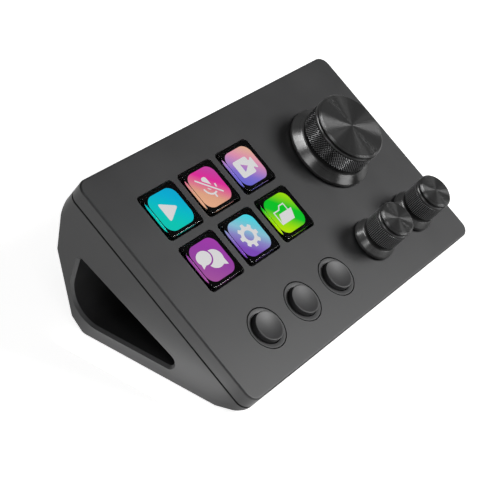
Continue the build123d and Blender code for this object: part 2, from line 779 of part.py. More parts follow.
def build():
    nodes = {
        "stand": ROW * stand(),
        "rubber_feet": together(ROW * rubber_foot(place) for place in foot_places()),
        "top_cover": on_panel(top_cover()),
        "main_board": on_panel(main_board()),
        "control_chip": on_panel(control_chip()),
        "cable_socket": on_panel(cable_socket()),
        "board_screws": together(on_panel(one) for one in board_screws()),
        "housing_screws": together(on_panel(one) for one in housing_screws()),
        "key_switches": together(on_panel(switch_body(place)) for place in key_places()),
        "button_switches": together(on_panel(switch_body(place)) for place in button_places()),
    }
    for i, place in enumerate(key_places(), 1):
        nodes[f"key_{i}_cap"] = on_panel(key_cap(place))
        nodes[f"key_{i}_display"] = on_panel(key_display(place))
        nodes[f"key_{i}_plunger"] = on_panel(key_plunger(place))
    for i, place in enumerate(button_places(), 1):
        nodes[f"button_{i}_ring"] = on_panel(button_ring(place))
        nodes[f"button_{i}_cap"] = on_panel(button_cap(place))
        nodes[f"button_{i}_plunger"] = on_panel(plunger(place, BUTTON_END))
    for name, place, foot_r, grip_r in knob_places():
        nodes[f"{name}_knob"] = on_panel(knob_body(place, foot_r, grip_r))
        nodes[f"{name}_knob_disc"] = on_panel(knob_disc(place, grip_r))
        nodes[f"{name}_shaft"] = on_panel(encoder_shaft(place))
        nodes[f"{name}_slider"] = on_panel(encoder_slider(place))
        nodes[f"{name}_encoder"] = on_panel(encoder_body(place))
    return nodes


if __name__ == "__main__":
    os.makedirs("parts", exist_ok=True)
    for name, node in build().items():
        export_step(node, f"parts/{name}.step")
        print(name, round(node.volume, 2))
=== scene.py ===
# %% [markdown]
# # A macro keypad with picture keys and three knobs
#
# The keypad is a small wedge of dark grey ABS that stands on a desk. Its sloping panel
# carries six clear keys, each with a lit picture under it, three round buttons and three
# knobs of black anodised aluminium, which turn without end and can be pushed.
# The CAD model gives the solids, their places and their joints. This lesson gives them
# their finishes, and replaces the pieces whose surface is finer than the CAD's: the clear
# keys and their displays, the buttons and their rings, the turned and knurled knobs.

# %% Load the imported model
import json
import math

import bmesh
import bpy
from mathutils import Matrix, Vector


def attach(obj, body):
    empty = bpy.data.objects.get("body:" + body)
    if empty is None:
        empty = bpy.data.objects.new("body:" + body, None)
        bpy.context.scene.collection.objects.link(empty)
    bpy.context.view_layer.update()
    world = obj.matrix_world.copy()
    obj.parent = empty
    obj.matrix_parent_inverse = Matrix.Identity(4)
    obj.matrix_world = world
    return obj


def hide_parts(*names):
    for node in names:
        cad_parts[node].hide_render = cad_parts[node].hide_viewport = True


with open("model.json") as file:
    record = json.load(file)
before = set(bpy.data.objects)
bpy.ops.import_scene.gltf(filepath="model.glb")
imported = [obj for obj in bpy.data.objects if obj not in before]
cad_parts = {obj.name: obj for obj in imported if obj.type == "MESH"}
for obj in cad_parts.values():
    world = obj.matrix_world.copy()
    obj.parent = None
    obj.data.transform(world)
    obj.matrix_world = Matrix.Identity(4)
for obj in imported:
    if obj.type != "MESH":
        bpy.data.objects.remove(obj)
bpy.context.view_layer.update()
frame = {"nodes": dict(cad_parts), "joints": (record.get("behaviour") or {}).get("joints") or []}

# %% [markdown]
# ## The camera
#
# A long lens from the front left and well above keeps the wedge nearly free of
# perspective, as in a catalogue. The camera looks at a point inside the object and then
# rolls a little about its own axis, which is how a product is made to seem to float.

# %% Set up the camera
MM = 0.001
CAMERA_PLACE = Vector((-329.8, -186.5, 247.9)) * MM
CAMERA_AIM = Vector((-23.5, -3.8, 25.0)) * MM
CAMERA_ROLL = math.radians(8.19)
LENS_MM = 100.6
SENSOR_MM = 36.0

camera_data = bpy.data.cameras.new("camera")
camera_data.lens = LENS_MM
camera_data.sensor_width = SENSOR_MM
camera_data.clip_start = 0.01
camera_data.clip_end = 20
camera = bpy.data.objects.new("camera", camera_data)
bpy.context.scene.collection.objects.link(camera)
aim = (CAMERA_AIM - CAMERA_PLACE).to_track_quat("-Z", "Y").to_matrix().to_4x4()
camera.matrix_world = Matrix.Translation(CAMERA_PLACE) @ aim @ Matrix.Rotation(CAMERA_ROLL, 4, "Z")
bpy.context.scene.camera = camera
print("camera is", round((CAMERA_AIM - CAMERA_PLACE).length, 3), "m from its aim")

# %% [markdown]
# ## The panel as a drawing board
#
# Everything on the keypad stands square on the sloping panel, so it is drawn there in
# millimetres: x across, y up the slope and z out of the panel. One matrix takes that
# drawing to the shared frame. It comes from the joints, which know the slope: a key
# travels straight into the panel, and a knob's axis passes through the panel's face.

# %% Build the panel's matrix from the joints
joints = {joint["name"]: joint for joint in frame["joints"]}
out_of_panel = -Vector(joints["key_1_press"]["axis"]).normalized()
across = Vector((1, 0, 0))
up_slope = out_of_panel.cross(across)
panel_turn = Matrix((across, up_slope, out_of_panel)).transposed().to_4x4()
panel_origin = Vector(joints["big_turn"]["pos_m"])
PANEL = Matrix.Translation(panel_origin) @ panel_turn @ Matrix.Scale(MM, 4)
SLOPE = math.atan2(up_slope.z, up_slope.y)


def panel_points(node):
    """The vertices of a CAD node, in panel millimetres."""
    to_panel = PANEL.inverted()
    return [to_panel @ vertex.co for vertex in frame["nodes"][node].data.vertices]


def panel_box(node):
    """Lowest and highest corner of a CAD node, in panel millimetres."""
    points = panel_points(node)
    return Vector(map(min, zip(*points))), Vector(map(max, zip(*points)))


def middle_of(node):
    """Where a node stands on the panel: x and y of its middle."""
    low, high = panel_box(node)
    return (low.xy + high.xy) / 2


print("the panel slopes", round(math.degrees(SLOPE), 2), "degrees")

# %% [markdown]
# ## Two ways to draw an outline, one way to skin it
#
# A knob is a profile turned about an axis. A clear key is the same idea with a rounded
# square in place of the circle. So both are drawn as a pile of outlines, each a little
# wider or narrower than the last, with faces between them and a lid on each end.
# A hard corner in the profile never looks real, because every real edge catches light.
# So each point of a profile says how far its corner is eased.

# %% Outlines and eased corners
ROUND_STEPS = 128
CORNER_STEPS = 10
EASE_STEPS = 4


def circle(radius):
    """Points round a circle, counter-clockwise."""
    angles = [2 * math.pi * i / ROUND_STEPS for i in range(ROUND_STEPS)]
    return [(radius * math.cos(angle), radius * math.sin(angle)) for angle in angles]


def rounded_square(half, corner):
    """A square of that half side, counter-clockwise, with its corners as arcs."""
    points = []
    for quarter in range(4):
        start = quarter * math.pi / 2
        middle = Matrix.Rotation(start, 2) @ Vector((half - corner, half - corner))
        for step in range(CORNER_STEPS + 1):
            angle = start + math.pi / 2 * step / CORNER_STEPS
            points.append((middle.x + corner * math.cos(angle), middle.y + corner * math.sin(angle)))
    return points


def eased(path, closed=False, steps=EASE_STEPS):
    """A path of (x, y) or (x, y, ease) points, with each corner softened by its ease."""
    result = []
    for i, point in enumerate(path):
        here = Vector(point[:2])
        ease = point[2] if len(point) > 2 else 0
        at_end = not closed and i in (0, len(path) - 1)
        if ease == 0 or at_end:
            result.append(here)
            continue
        before = Vector(path[i - 1][:2]) - here
        after = Vector(path[(i + 1) % len(path)][:2]) - here
        start = here + before.normalized() * min(ease, before.length / 2)
        end = here + after.normalized() * min(ease, after.length / 2)
        for step in range(steps + 1):
            t = step / steps
            result.append(start * (1 - t) ** 2 + here * 2 * t * (1 - t) + end * t**2)
    return result


print("an eased corner has", EASE_STEPS + 1, "points")

# %% Skins


def skin(mesh, rings, closed=False):
    """Faces between rings of points, with a lid on the first and last one."""
    loops = [[mesh.verts.new(point) for point in ring] for ring in rings]
    pairs = list(zip(loops, loops[1:]))
    if closed:
        pairs.append((loops[-1], loops[0]))
    for lower, upper in pairs:
        for i in range(len(lower)):
            mesh.faces.new((lower[i - 1], lower[i], upper[i], upper[i - 1]))
    if not closed:
        mesh.faces.new(reversed(loops[0]))
        mesh.faces.new(loops[-1])


def turn(mesh, profile, closed=False):
    """A solid of revolution from a profile of (radius, height) points."""
    path = eased(profile, closed)
    skin(mesh, [[(x, y, height) for x, y in circle(radius)] for radius, height in path], closed)


print("a turned piece has", ROUND_STEPS, "points in each of its rings")

# %% Putting a piece in its place
SHARP_ANGLE = math.radians(28)


def settle(name, mesh, place, body, materials, replaced):
    """Puts a mesh drawn in millimetres at a place on the panel, and lets it ride on its body."""
    bmesh.ops.recalc_face_normals(mesh, faces=mesh.faces)
    data = bpy.data.meshes.new(name)
    mesh.to_mesh(data)
    mesh.free()
    for material in materials:
        data.materials.append(material)
    data.transform(PANEL @ Matrix.Translation((place[0], place[1], 0)))
    data.shade_smooth()
    data.set_sharp_from_angle(angle=SHARP_ANGLE)
    piece = bpy.data.objects.new(name, data)
    bpy.context.scene.collection.objects.link(piece)
    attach(piece, body)
    for node in replaced:
        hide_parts(node)


print("edges sharper than", round(math.degrees(SHARP_ANGLE)), "degrees stay crisp")

# %% [markdown]
# ## Colours and nodes
#
# A colour is written as the hex value that a screen shows, and one function turns it to
# the linear light that the renderer adds up. Another small function adds a node with its
# settings and links, so that a material reads as a list of what it is made of.

# %% A colour function and a node function


def srgb(code):
    """#rrggbb as a linear colour, with full alpha."""
    parts = [int(code[i:i + 2], 16) / 255 for i in (1, 3, 5)]
    linear = [part / 12.92 if part <= 0.04045 else ((part + 0.055) / 1.055) ** 2.4 for part in parts]
    return (*linear, 1.0)


def add(tree, kind, inputs=None, **settings):
    """Adds a node. An input's value is a number, a colour or another node's socket."""
    node = tree.nodes.new(kind)
    for name, value in settings.items():
        setattr(node, name, value)
    for name, value in (inputs or {}).items():
        socket = node.inputs[name]
        if isinstance(value, bpy.types.NodeSocket):
            tree.links.new(value, socket)
        else:
            socket.default_value = value
    return node


def new_finish(name):
    """An empty material: its node tree and its surface socket."""
    material = bpy.data.materials.new(name)
    material.use_nodes = True
    tree = material.node_tree
    tree.nodes.clear()
    output = add(tree, "ShaderNodeOutputMaterial")
    return material, tree, output.inputs["Surface"]


def per_mm(size):
    """The scale at which one cell of a pattern on Object coordinates is that many millimetres."""
    return 1 / (size * MM)


print("mid grey is", round(srgb("#808080")[0], 3), "in linear light")

# %% [markdown]
# ## Moulded ABS
#
# The two shells are injection-moulded ABS. The mould was spark-eroded, which leaves a
# fine matte texture: it hides sink marks and turns a highlight into a soft sheen.
# The real grain is near 0.05 mm. It is drawn at 0.22 mm, because anything finer would
# vanish between pixels. A slow cloud in colour and roughness keeps the big flat
# faces from looking like paint on a screen.
# The two shells meet in a fine gap, parallel to the panel. Hardly any light comes back
# out of a gap like that, so it looks like a black pen line. That shade is painted: the
# colour goes dark and dull within a third of a millimetre of the gap's plane, which
# follows the panel's slope.
# The other plastics and lacquers are the same few nodes with other numbers.

# %% Moulded plastic
SEAM_DEPTH = 5.12          # millimetres from the panel's face down to the middle of the gap
SEAM_HALF = 0.3
SEAM_FADE = 0.12
SEAM_SHADE_BLACK = "#020202"
CLOUD_SIZE = 14
NOISE_SUM = (0.6, 1.4)     # where the sum of two noises, each near a half, mostly lies
ROUGHNESS_SWING = 0.05
PLASTIC_IOR = 1.53


def away_from_painted_seam_shade(tree, place):
    """0 in the line where the two shells meet and the gap's shade is painted, 1 away from it."""
    offset = add(tree, "ShaderNodeVectorMath", {0: place, 1: panel_origin}, operation="SUBTRACT")
    height = add(tree, "ShaderNodeVectorMath", {
        0: offset.outputs[0], 1: out_of_panel}, operation="DOT_PRODUCT")
    above = add(tree, "ShaderNodeMath", {
        0: height.outputs["Value"], 1: SEAM_DEPTH * MM}, operation="ADD")
    away = add(tree, "ShaderNodeMath", {0: above.outputs[0]}, operation="ABSOLUTE")
    clear = add(tree, "ShaderNodeMapRange", {
        "Value": away.outputs[0],
        "From Min": SEAM_HALF * MM, "From Max": (SEAM_HALF + SEAM_FADE) * MM})
    return clear.outputs[0]


def moulded_plastic(name, dark, light, roughness, grain, relief, gloss, seam=False):
    """Plastic from a textured mould. Grain and relief are in millimetres. With seam, the gap between the
    shells gets painted shade.
    """
    material, tree, surface = new_finish(name)
    place = add(tree, "ShaderNodeTexCoord").outputs["Object"]
    cloud = add(tree, "ShaderNodeTexNoise", {
        "Vector": place, "Scale": per_mm(CLOUD_SIZE), "Detail": 3.0})
    texture = add(tree, "ShaderNodeTexNoise", {
        "Vector": place, "Scale": per_mm(grain), "Detail": 2.0})
    both = add(tree, "ShaderNodeMath", {
        0: cloud.outputs["Fac"], 1: texture.outputs["Fac"]}, operation="ADD")
    share = add(tree, "ShaderNodeMapRange", {
        "Value": both.outputs[0], "From Min": NOISE_SUM[0], "From Max": NOISE_SUM[1]})
    colour = add(tree, "ShaderNodeMix", {
        "Factor": share.outputs[0], "A": srgb(dark), "B": srgb(light)},
        data_type="RGBA").outputs["Result"]
    dullness = add(tree, "ShaderNodeMapRange", {
        "Value": share.outputs[0],
        "To Min": roughness - ROUGHNESS_SWING, "To Max": roughness + ROUGHNESS_SWING}).outputs[0]
    # Painted shade of the gap between the shells: near black and fully rough in a narrow band.
    if seam:
        clear = away_from_painted_seam_shade(tree, place)
        colour = add(tree, "ShaderNodeMix", {
            "Factor": clear, "A": srgb(SEAM_SHADE_BLACK), "B": colour},
            data_type="RGBA").outputs["Result"]
        dullness = add(tree, "ShaderNodeMix", {
            "Factor": clear, "A": 1.0, "B": dullness}).outputs["Result"]
    bump = add(tree, "ShaderNodeBump", {
        "Height": texture.outputs["Fac"], "Distance": relief * MM, "Strength": 1.0})
    plastic = add(tree, "ShaderNodeBsdfPrincipled", {
        "Base Color": colour, "Roughness": dullness,
        "IOR": PLASTIC_IOR, "Specular IOR Level": gloss, "Normal": bump.outputs[0]})
    tree.links.new(plastic.outputs[0], surface)
    return material


# ABS as it leaves the textured mould: a soft grey sheen, nowhere a sharp highlight. It carries the
# painted shade line of the shells' gap.
matte_abs = moulded_plastic(
    "moulded_abs_dark_grey", "#2f2f30", "#353536", 0.44, 0.22, 0.006, 0.5, seam=True)
# The same ABS on buttons and rings, a little duller, so that shading alone shows the dish.
satin_abs = moulded_plastic("satin_abs_dark_grey", "#2f2f30", "#343435", 0.48, 0.3, 0.004, 0.5)
# Nylon, for what slides and switches: nearly black, with a blurred and waxy shine.
black_nylon = moulded_plastic("moulded_nylon_black", "#141415", "#1b1b1c", 0.5, 0.3, 0.01, 0.4)
# Silicone rubber under the base: it grips, and hardly shines at all.
foot_rubber = moulded_plastic("silicone_rubber_black", "#101011", "#171718", 0.8, 0.4, 0.02, 0.2)
# Lacquer sprayed on the skirts of the keys: the blackest of all, it swallows stray light.
sprayed_black = moulded_plastic("sprayed_lacquer_black", "#060606", "#0b0b0b", 0.6, 0.3, 0.004, 0.1)
# Solder mask on the circuit board: a green lacquer that is smooth enough to shine.
solder_mask = moulded_plastic("solder_mask_green", "#0c3b22", "#11492c", 0.35, 0.5, 0.004, 0.5)
print("the seam is drawn", 2 * SEAM_HALF, "mm wide,", SEAM_DEPTH, "mm under the panel's face")

# %% [markdown]
# ## Plated steel
#
# Screws, the knobs' shafts and the cable socket's shell are steel with a bright plating.
# It is a metal, so its colour is its reflection, and the fine lines from drawing and
# pressing it stretch the noise along one direction.

# %% Plated steel
LINE_SIZE = 0.2
LINE_STRETCH = (0.15, 1.0, 1.0)
STEEL_ROUGHNESS = (0.22, 0.4)


def plated_steel(name, dark, light):
    """Steel with fine lines along x."""
    material, tree, surface = new_finish(name)
    place = add(tree, "ShaderNodeTexCoord").outputs["Object"]
    drawn = add(tree, "ShaderNodeMapping", {"Vector": place, "Scale": LINE_STRETCH})
    lines = add(tree, "ShaderNodeTexNoise", {
        "Vector": drawn.outputs[0], "Scale": per_mm(LINE_SIZE), "Detail": 3.0})
    colour = add(tree, "ShaderNodeMix", {
        "Factor": lines.outputs["Fac"], "A": srgb(dark), "B": srgb(light)}, data_type="RGBA")
    dullness = add(tree, "ShaderNodeMapRange", {
        "Value": lines.outputs["Fac"],
        "To Min": STEEL_ROUGHNESS[0], "To Max": STEEL_ROUGHNESS[1]})
    steel = add(tree, "ShaderNodeBsdfPrincipled", {
        "Base Color": colour.outputs["Result"], "Metallic": 1.0, "Roughness": dullness.outputs[0]})
    tree.links.new(steel.outputs[0], surface)
    return material


bright_steel = plated_steel("plated_steel_bright", "#b4b4b2", "#d2d2d0")
print(bright_steel.name, "has", len(bright_steel.node_tree.nodes), "nodes")

# %% [markdown]
# ## The pieces whose CAD shape is right
#
# The shells, the feet and all that is inside keep their CAD meshes. They only get a
# finish. Nodes that are replaced below are left out here.

# %% Finish the CAD pieces
KEYS = range(1, 7)
BUTTONS = range(1, 4)
KNOBS = ("big", "left", "right")


def dress(nodes, material):
    """Gives CAD nodes their finish."""
    for node in nodes:
        data = frame["nodes"][node].data
        data.materials.clear()
        data.materials.append(material)
    print(material.name, "on", len(nodes), "nodes")


dress(["stand", "top_cover"], matte_abs)
dress(["rubber_feet"], foot_rubber)
dress(["main_board"], solder_mask)
dress(["board_screws", "housing_screws", "cable_socket"], bright_steel)
dress([f"{side}_shaft" for side in KNOBS], bright_steel)
dress(["control_chip", "key_switches", "button_switches"], black_nylon)
dress([f"{side}_{part}" for side in KNOBS for part in ("encoder", "slider")], black_nylon)
dress([f"key_{i}_plunger" for i in KEYS], black_nylon)
dress([f"button_{i}_plunger" for i in BUTTONS], black_nylon)

# %% [markdown]
# ## Clear keys
#
# Each key is a cap of clear acrylic over a small display, glued to it without air, so
# that the picture shows through the top and, bent by the acrylic, again through the
# side. That second, narrow picture is what makes a clear key look like a lens.
# The cap is a pile of rounded squares: from the roof of the pocket down its wall, out to
# the hidden flange, then up the outside to a slightly eased top edge. The skirt under the
# clear block is sprayed black, so no light leaks out of the well. Refraction does the rest.
# Polished acrylic still has a faint haze from handling, which a noise adds to its
# roughness. It stays low, because a rougher wall would scatter each lamp into specks.

# %% Clear acrylic
HAZE_SIZE = 6
HAZE_ROUGHNESS = 0.01
ACRYLIC_IOR = 1.49


def clear_acrylic(name):
    """Polished clear plastic with a trace of haze."""
    material, tree, surface = new_finish(name)
    place = add(tree, "ShaderNodeTexCoord").outputs["Object"]
    haze = add(tree, "ShaderNodeTexNoise", {
        "Vector": place, "Scale": per_mm(HAZE_SIZE), "Detail": 4.0})
    dullness = add(tree, "ShaderNodeMapRange", {
        "Value": haze.outputs["Fac"], "To Min": 0.0, "To Max": HAZE_ROUGHNESS})
    tint = add(tree, "ShaderNodeMix", {
        "Factor": haze.outputs["Fac"], "A": srgb("#f6f8fa"), "B": srgb("#ffffff")}, data_type="RGBA")
    acrylic = add(tree, "ShaderNodeBsdfPrincipled", {
        "Base Color": tint.outputs["Result"], "Roughness": dullness.outputs[0],
        "IOR": ACRYLIC_IOR, "Specular IOR Level": 0.25, "Transmission Weight": 1.0})
    tree.links.new(acrylic.outputs[0], surface)
    return material


polished_acrylic = clear_acrylic("polished_acrylic_clear")
print(polished_acrylic.name, "has", len(polished_acrylic.node_tree.nodes), "nodes")

# %% Build the clear caps
CAP_CORNER = 0.9
CAP_EDGE = 0.3
CAP_EDGE_STEPS = 12
LID_INSET = 1.0            # how far in from the edge a top's last ring lies
LEAST_CORNER = 0.3
POCKET_WALL = 0.65
FLANGE_LAP = 1.15
FLANGE_THICKNESS = 0.7
CLEAR_BELOW_POCKET = 0.15
CLEAR_DEPTH = 1.5
HAIR = 0.01

cap_low, cap_high = panel_box("key_1_cap")
CAP_HALF = (cap_high.x - cap_low.x) / 2 - FLANGE_LAP
POCKET_TOP = cap_high.z - CLEAR_DEPTH
POCKET_HALF = CAP_HALF - POCKET_WALL
FLANGE_HALF = CAP_HALF + FLANGE_LAP


def clear_cap(i):
    """One cap, clear on top and sprayed black below its pocket's roof."""
    flange_top = cap_low.z + FLANGE_THICKNESS
    profile = eased([
        (POCKET_HALF, POCKET_TOP),
        (POCKET_HALF, cap_low.z),
        (FLANGE_HALF, cap_low.z),
        (FLANGE_HALF, flange_top),
        (CAP_HALF, flange_top),
        (CAP_HALF, POCKET_TOP - CLEAR_BELOW_POCKET),
        (CAP_HALF, cap_high.z, CAP_EDGE),
        (CAP_HALF - LID_INSET, cap_high.z),
    ], steps=CAP_EDGE_STEPS)
    corners = [max(CAP_CORNER + half - CAP_HALF, LEAST_CORNER) for half, _ in profile]
    mesh = bmesh.new()
    skin(mesh, [
        [(x, y, height) for x, y in rounded_square(half, corner)]
        for (half, height), corner in zip(profile, corners)
    ])
    for face in mesh.faces:
        face.material_index = int(face.calc_center_median().z < POCKET_TOP + HAIR)
    settle(f"key_{i}_clear_cap", mesh, middle_of(f"key_{i}_cap"), f"key_{i}",
           [polished_acrylic, sprayed_black], [f"key_{i}_cap"])


for i in KEYS:
    clear_cap(i)
print("clear caps are", round(2 * CAP_HALF, 2), "mm square, top at", round(cap_high.z, 2), "mm")

# %% [markdown]
# ## Lit pictures
#
# A display shows a black border and a picture with rounded corners: a soft diagonal
# gradient with a plain white sign on it. Light comes out of it, so its colours are
# emission. The gradient runs along the picture's own UV map, which is laid out from its
# size in millimetres, and its stops are a short list for each key.
# Border, picture and sign are one piece, a stack of thin plates that reaches into the
# acrylic. That is what glue does: it leaves no air gap, so no second reflection.

# %% Gradients of the pictures
SCREEN_LEVEL = 1.04        # a little over white, for what the acrylic reflects away
DIAGONAL = (0.5, 0.5, 0.0)
BORDER_CLOUD = 3
PICTURE_HALF = 6.35
PICTURE_SHIFT = Vector((0.1, 0.15))
PICTURE_CORNER = 3.3
BORDER_HALF = 6.75
BORDER_CORNER = 0.8
GRADIENTS = {
    "teal": [(0.25, "#05c4b2"), (0.5, "#02bbc4"), (0.75, "#02acd0"), (1.0, "#03a2cf")],
    "magenta": [(0.12, "#e4aa88"), (0.3, "#dca283"), (0.48, "#dc708e"), (0.65, "#dc2c97"),
                (0.8, "#cb3a9b"), (1.0, "#ba4aa3")],
    "dusk": [(0.12, "#6967cd"), (0.3, "#806fcc"), (0.5, "#ba85be"), (0.66, "#dc8fac"),
             (0.9, "#e0ae96")],
    "purple": [(0.1, "#a1529b"), (0.45, "#94429e"), (0.7, "#983ca4"), (1.0, "#a23ba7")],
    "sky": [(0.2, "#7b48b6"), (0.42, "#8a84c4"), (0.6, "#88bfd4"), (0.75, "#66c8d6"),
            (0.9, "#44d4e4")],
    "lime": [(0.12, "#b2e202"), (0.26, "#94dc08"), (0.46, "#04c028"), (0.64, "#04c024"),
             (0.9, "#9cdc04")],
}


def lit_picture(name, stops):
    """A display that glows with a diagonal gradient over the UV map."""
    material, tree, surface = new_finish(name)
    uv = add(tree, "ShaderNodeTexCoord").outputs["UV"]
    along = add(tree, "ShaderNodeVectorMath", {
        0: uv, 1: DIAGONAL}, operation="DOT_PRODUCT")
    ramp = add(tree, "ShaderNodeValToRGB", {"Fac": along.outputs["Value"]})
    for i, (position, code) in enumerate(stops):
        element = ramp.color_ramp.elements[i] if i < 2 else ramp.color_ramp.elements.new(position)
        element.position = position
        element.color = srgb(code)
    display = add(tree, "ShaderNodeBsdfPrincipled", {
        "Base Color": srgb("#050505"), "Roughness": 0.3, "Specular IOR Level": 0.0,
        "Emission Color": ramp.outputs["Color"], "Emission Strength": SCREEN_LEVEL})
    tree.links.new(display.outputs[0], surface)
    return material


def display_black(name):
    """The display's unlit border: black under glass, with the faintest unevenness."""
    material, tree, surface = new_finish(name)
    place = add(tree, "ShaderNodeTexCoord").outputs["Object"]
    cloud = add(tree, "ShaderNodeTexNoise", {
        "Vector": place, "Scale": per_mm(BORDER_CLOUD), "Detail": 2.0})
    colour = add(tree, "ShaderNodeMix", {
        "Factor": cloud.outputs["Fac"], "A": srgb("#020202"), "B": srgb("#060606")}, data_type="RGBA")
    glass = add(tree, "ShaderNodeBsdfPrincipled", {
        "Base Color": colour.outputs["Result"], "Roughness": 0.35, "Specular IOR Level": 0.0})
    tree.links.new(glass.outputs[0], surface)
    return material


border_black = display_black("display_border_black")
sign_white = lit_picture("display_sign_white", [(0.0, "#d9d7d7"), (1.0, "#d5d5d6")])
print("gradients:", ", ".join(GRADIENTS))

# %% [markdown]
# ## Signs on the pictures
#
# The signs are plain ones that any maker uses: play, a muted microphone, a camera,
# speech, settings and a folder. Each is a short stack of flat shapes, drawn in
# millimetres from the picture's middle. A shape of the picture's own colour laid over a
# white one cuts it, as a stencil does, so no boolean is needed.

# %% Flat shapes
ELLIPSE_STEPS = 48
CRADLE_STEPS = 14
TOOTH_ROOT = 0.31          # half the width of a gear's tooth, as a share of its pitch
TOOTH_TIP = 0.2
TOOTH_EASE = 0.25


def ellipse(x, y, rx, ry):
    """An oval round (x, y)."""
    angles = [2 * math.pi * i / ELLIPSE_STEPS for i in range(ELLIPSE_STEPS)]
    return [Vector((x + rx * math.cos(angle), y + ry * math.sin(angle))) for angle in angles]


def polygon(*points):
    """Corners as (x, y) or (x, y, ease)."""
    return eased(points, closed=True)


def stroke(points, width):
    """The outline of a pen line through points, with mitred corners."""
    points = [Vector(point) for point in points]
    left = []
    right = []
    for i, here in enumerate(points):
        came = (here - points[i - 1]).normalized() if i else Vector((0, 0))
        goes = (points[i + 1] - here).normalized() if i + 1 < len(points) else Vector((0, 0))
        run = (came + goes).normalized()
        side = Vector((-run.y, run.x))
        bend = max(came.dot(run), goes.dot(run))
        left.append(here + side * width / 2 / bend)
        right.append(here - side * width / 2 / bend)
    return right + left[::-1]


def gear(x, y, root, tip, teeth):
    """A gear wheel's outline, with its root and tip radius."""
    corners = ((-TOOTH_ROOT, root), (-TOOTH_TIP, tip), (TOOTH_TIP, tip), (TOOTH_ROOT, root))
    outline = []
    for tooth in range(teeth):
        for share, radius in corners:
            angle = 2 * math.pi * (tooth + share) / teeth
            outline.append((x + radius * math.cos(angle), y + radius * math.sin(angle), TOOTH_EASE))
    return polygon(*outline)


def cradle(x, y, radius):
    """The lower half of a circle, as the points of a pen line."""
    angles = [math.pi * (1 + step / CRADLE_STEPS) for step in range(CRADLE_STEPS + 1)]
    return [(x + radius * math.cos(angle), y + radius * math.sin(angle)) for angle in angles]


print("an oval has", ELLIPSE_STEPS, "points")

# %% Six signs
WHITE = 1
CUT = 2
PEN = 0.6
SIGNS = {
    "play": [
        (WHITE, polygon((-3.2, 3.4, 1.1), (-3.2, -3.4, 1.1), (3.1, 0, 1.1))),
    ],
    "muted": [
        (WHITE, polygon((-1.15, 3.65, 1.15), (-1.15, -1.0, 1.15),
                        (1.15, -1.0, 1.15), (1.15, 3.65, 1.15))),
        (WHITE, stroke(cradle(-0.05, 0.2, 2.7), PEN)),
        (WHITE, stroke([(-0.05, -2.4), (-0.05, -3.9)], PEN)),
        (CUT, stroke([(-4.0, 4.2), (3.9, -3.7)], 1.7)),
        (WHITE, stroke([(-3.65, 3.85), (3.55, -3.35)], 0.55)),
    ],
    "camera": [
        (WHITE, polygon((-4.45, 2.9, 0.9), (-4.45, -3.35, 0.9), (2.4, -3.35, 0.9), (2.4, 2.9, 0.9))),
        (WHITE, polygon((2.2, -1.7), (3.0, -1.6), (3.75, -2.3, 0.3), (4.3, -2.3, 0.3),
                        (4.3, 1.85, 0.3), (3.75, 1.85, 0.3), (3.0, 1.2), (2.2, 1.2))),
        (CUT, polygon((-1.85, 1.25, 0.2), (-1.85, -1.75, 0.2), (0.75, -0.25, 0.2))),
    ],
    "speech": [
        (WHITE, ellipse(1.1, -0.2, 3.5, 3.1)),
        (WHITE, polygon((2.0, -2.6), (4.35, -3.75, 0.15), (4.3, -1.2))),
        (CUT, ellipse(-2.35, 1.6, 3.5, 2.9)),
        (WHITE, ellipse(-2.35, 1.6, 3.0, 2.35)),
        (WHITE, polygon((-4.7, 0.9), (-5.1, -1.3, 0.15), (-3.0, -0.4))),
    ],
    "gear": [
        (WHITE, gear(-0.2, 0, 3.1, 4.1, 8)),
        (CUT, ellipse(-0.2, 0, 1.8, 1.8)),
    ],
    "folder": [
        (WHITE, stroke([(-4.15, -2.9), (-4.15, 1.6), (-1.4, 1.6), (-0.2, 2.75), (2.05, 2.75),
                        (2.05, 0.3)], 0.42)),
        (WHITE, polygon((-2.6, 0.4), (-4.35, -3.1), (2.2, -3.1), (3.9, 0.4))),
    ],
}
print("signs:", ", ".join(SIGNS))

# %% Build the lit pictures
BORDER_RISE = 0.02         # how far the glue lets the border reach into the acrylic
LAYER = 0.02
KEY_LOOKS = [("play", "teal"), ("muted", "magenta"), ("camera", "dusk"),
             ("speech", "purple"), ("gear", "sky"), ("folder", "lime")]


def plate(mesh, outline, low, high, index):
    """A thin plate with that outline. All faces get the material of that index."""
    first = len(mesh.faces)
    skin(mesh, [[(x, y, z) for x, y in outline] for z in (low, high)])
    mesh.faces.ensure_lookup_table()
    for face in mesh.faces[first:]:
        face.material_index = index


def shifted(outline):
    """An outline, moved to where the picture sits inside the display's border."""
    return [Vector(point[:2]) + PICTURE_SHIFT for point in outline]


def picture(i, sign, gradient):
    """Border, picture and sign of one display, each a hair above the one below."""
    mesh = bmesh.new()
    glow = lit_picture(f"display_picture_{gradient}", GRADIENTS[gradient])
    back = panel_box(f"key_{i}_display")[0].z
    base = POCKET_TOP - LAYER
    level = POCKET_TOP + BORDER_RISE
    plate(mesh, rounded_square(BORDER_HALF, BORDER_CORNER), back, level, 0)
    plate(mesh, shifted(rounded_square(PICTURE_HALF, PICTURE_CORNER)), base, level + LAYER, CUT)
    for layer, (index, outline) in enumerate(SIGNS[sign]):
        plate(mesh, shifted(outline), base, level + (layer + 2) * LAYER, index)
    mesh.normal_update()
    bmesh.ops.triangulate(mesh, faces=mesh.faces)
    uv = mesh.loops.layers.uv.new("picture")
    for face in mesh.faces:
        for loop in face.loops:
            flat = (loop.vert.co.xy - PICTURE_SHIFT) / (2 * PICTURE_HALF)
            loop[uv].uv = (flat.x + 0.5, flat.y + 0.5)
    node = f"key_{i}_display"
    settle(f"key_{i}_picture", mesh, middle_of(node), f"key_{i}",
           [border_black, sign_white, glow], [node])


for i, (sign, gradient) in zip(KEYS, KEY_LOOKS):
    picture(i, sign, gradient)
print("pictures are", 2 * PICTURE_HALF, "mm wide")

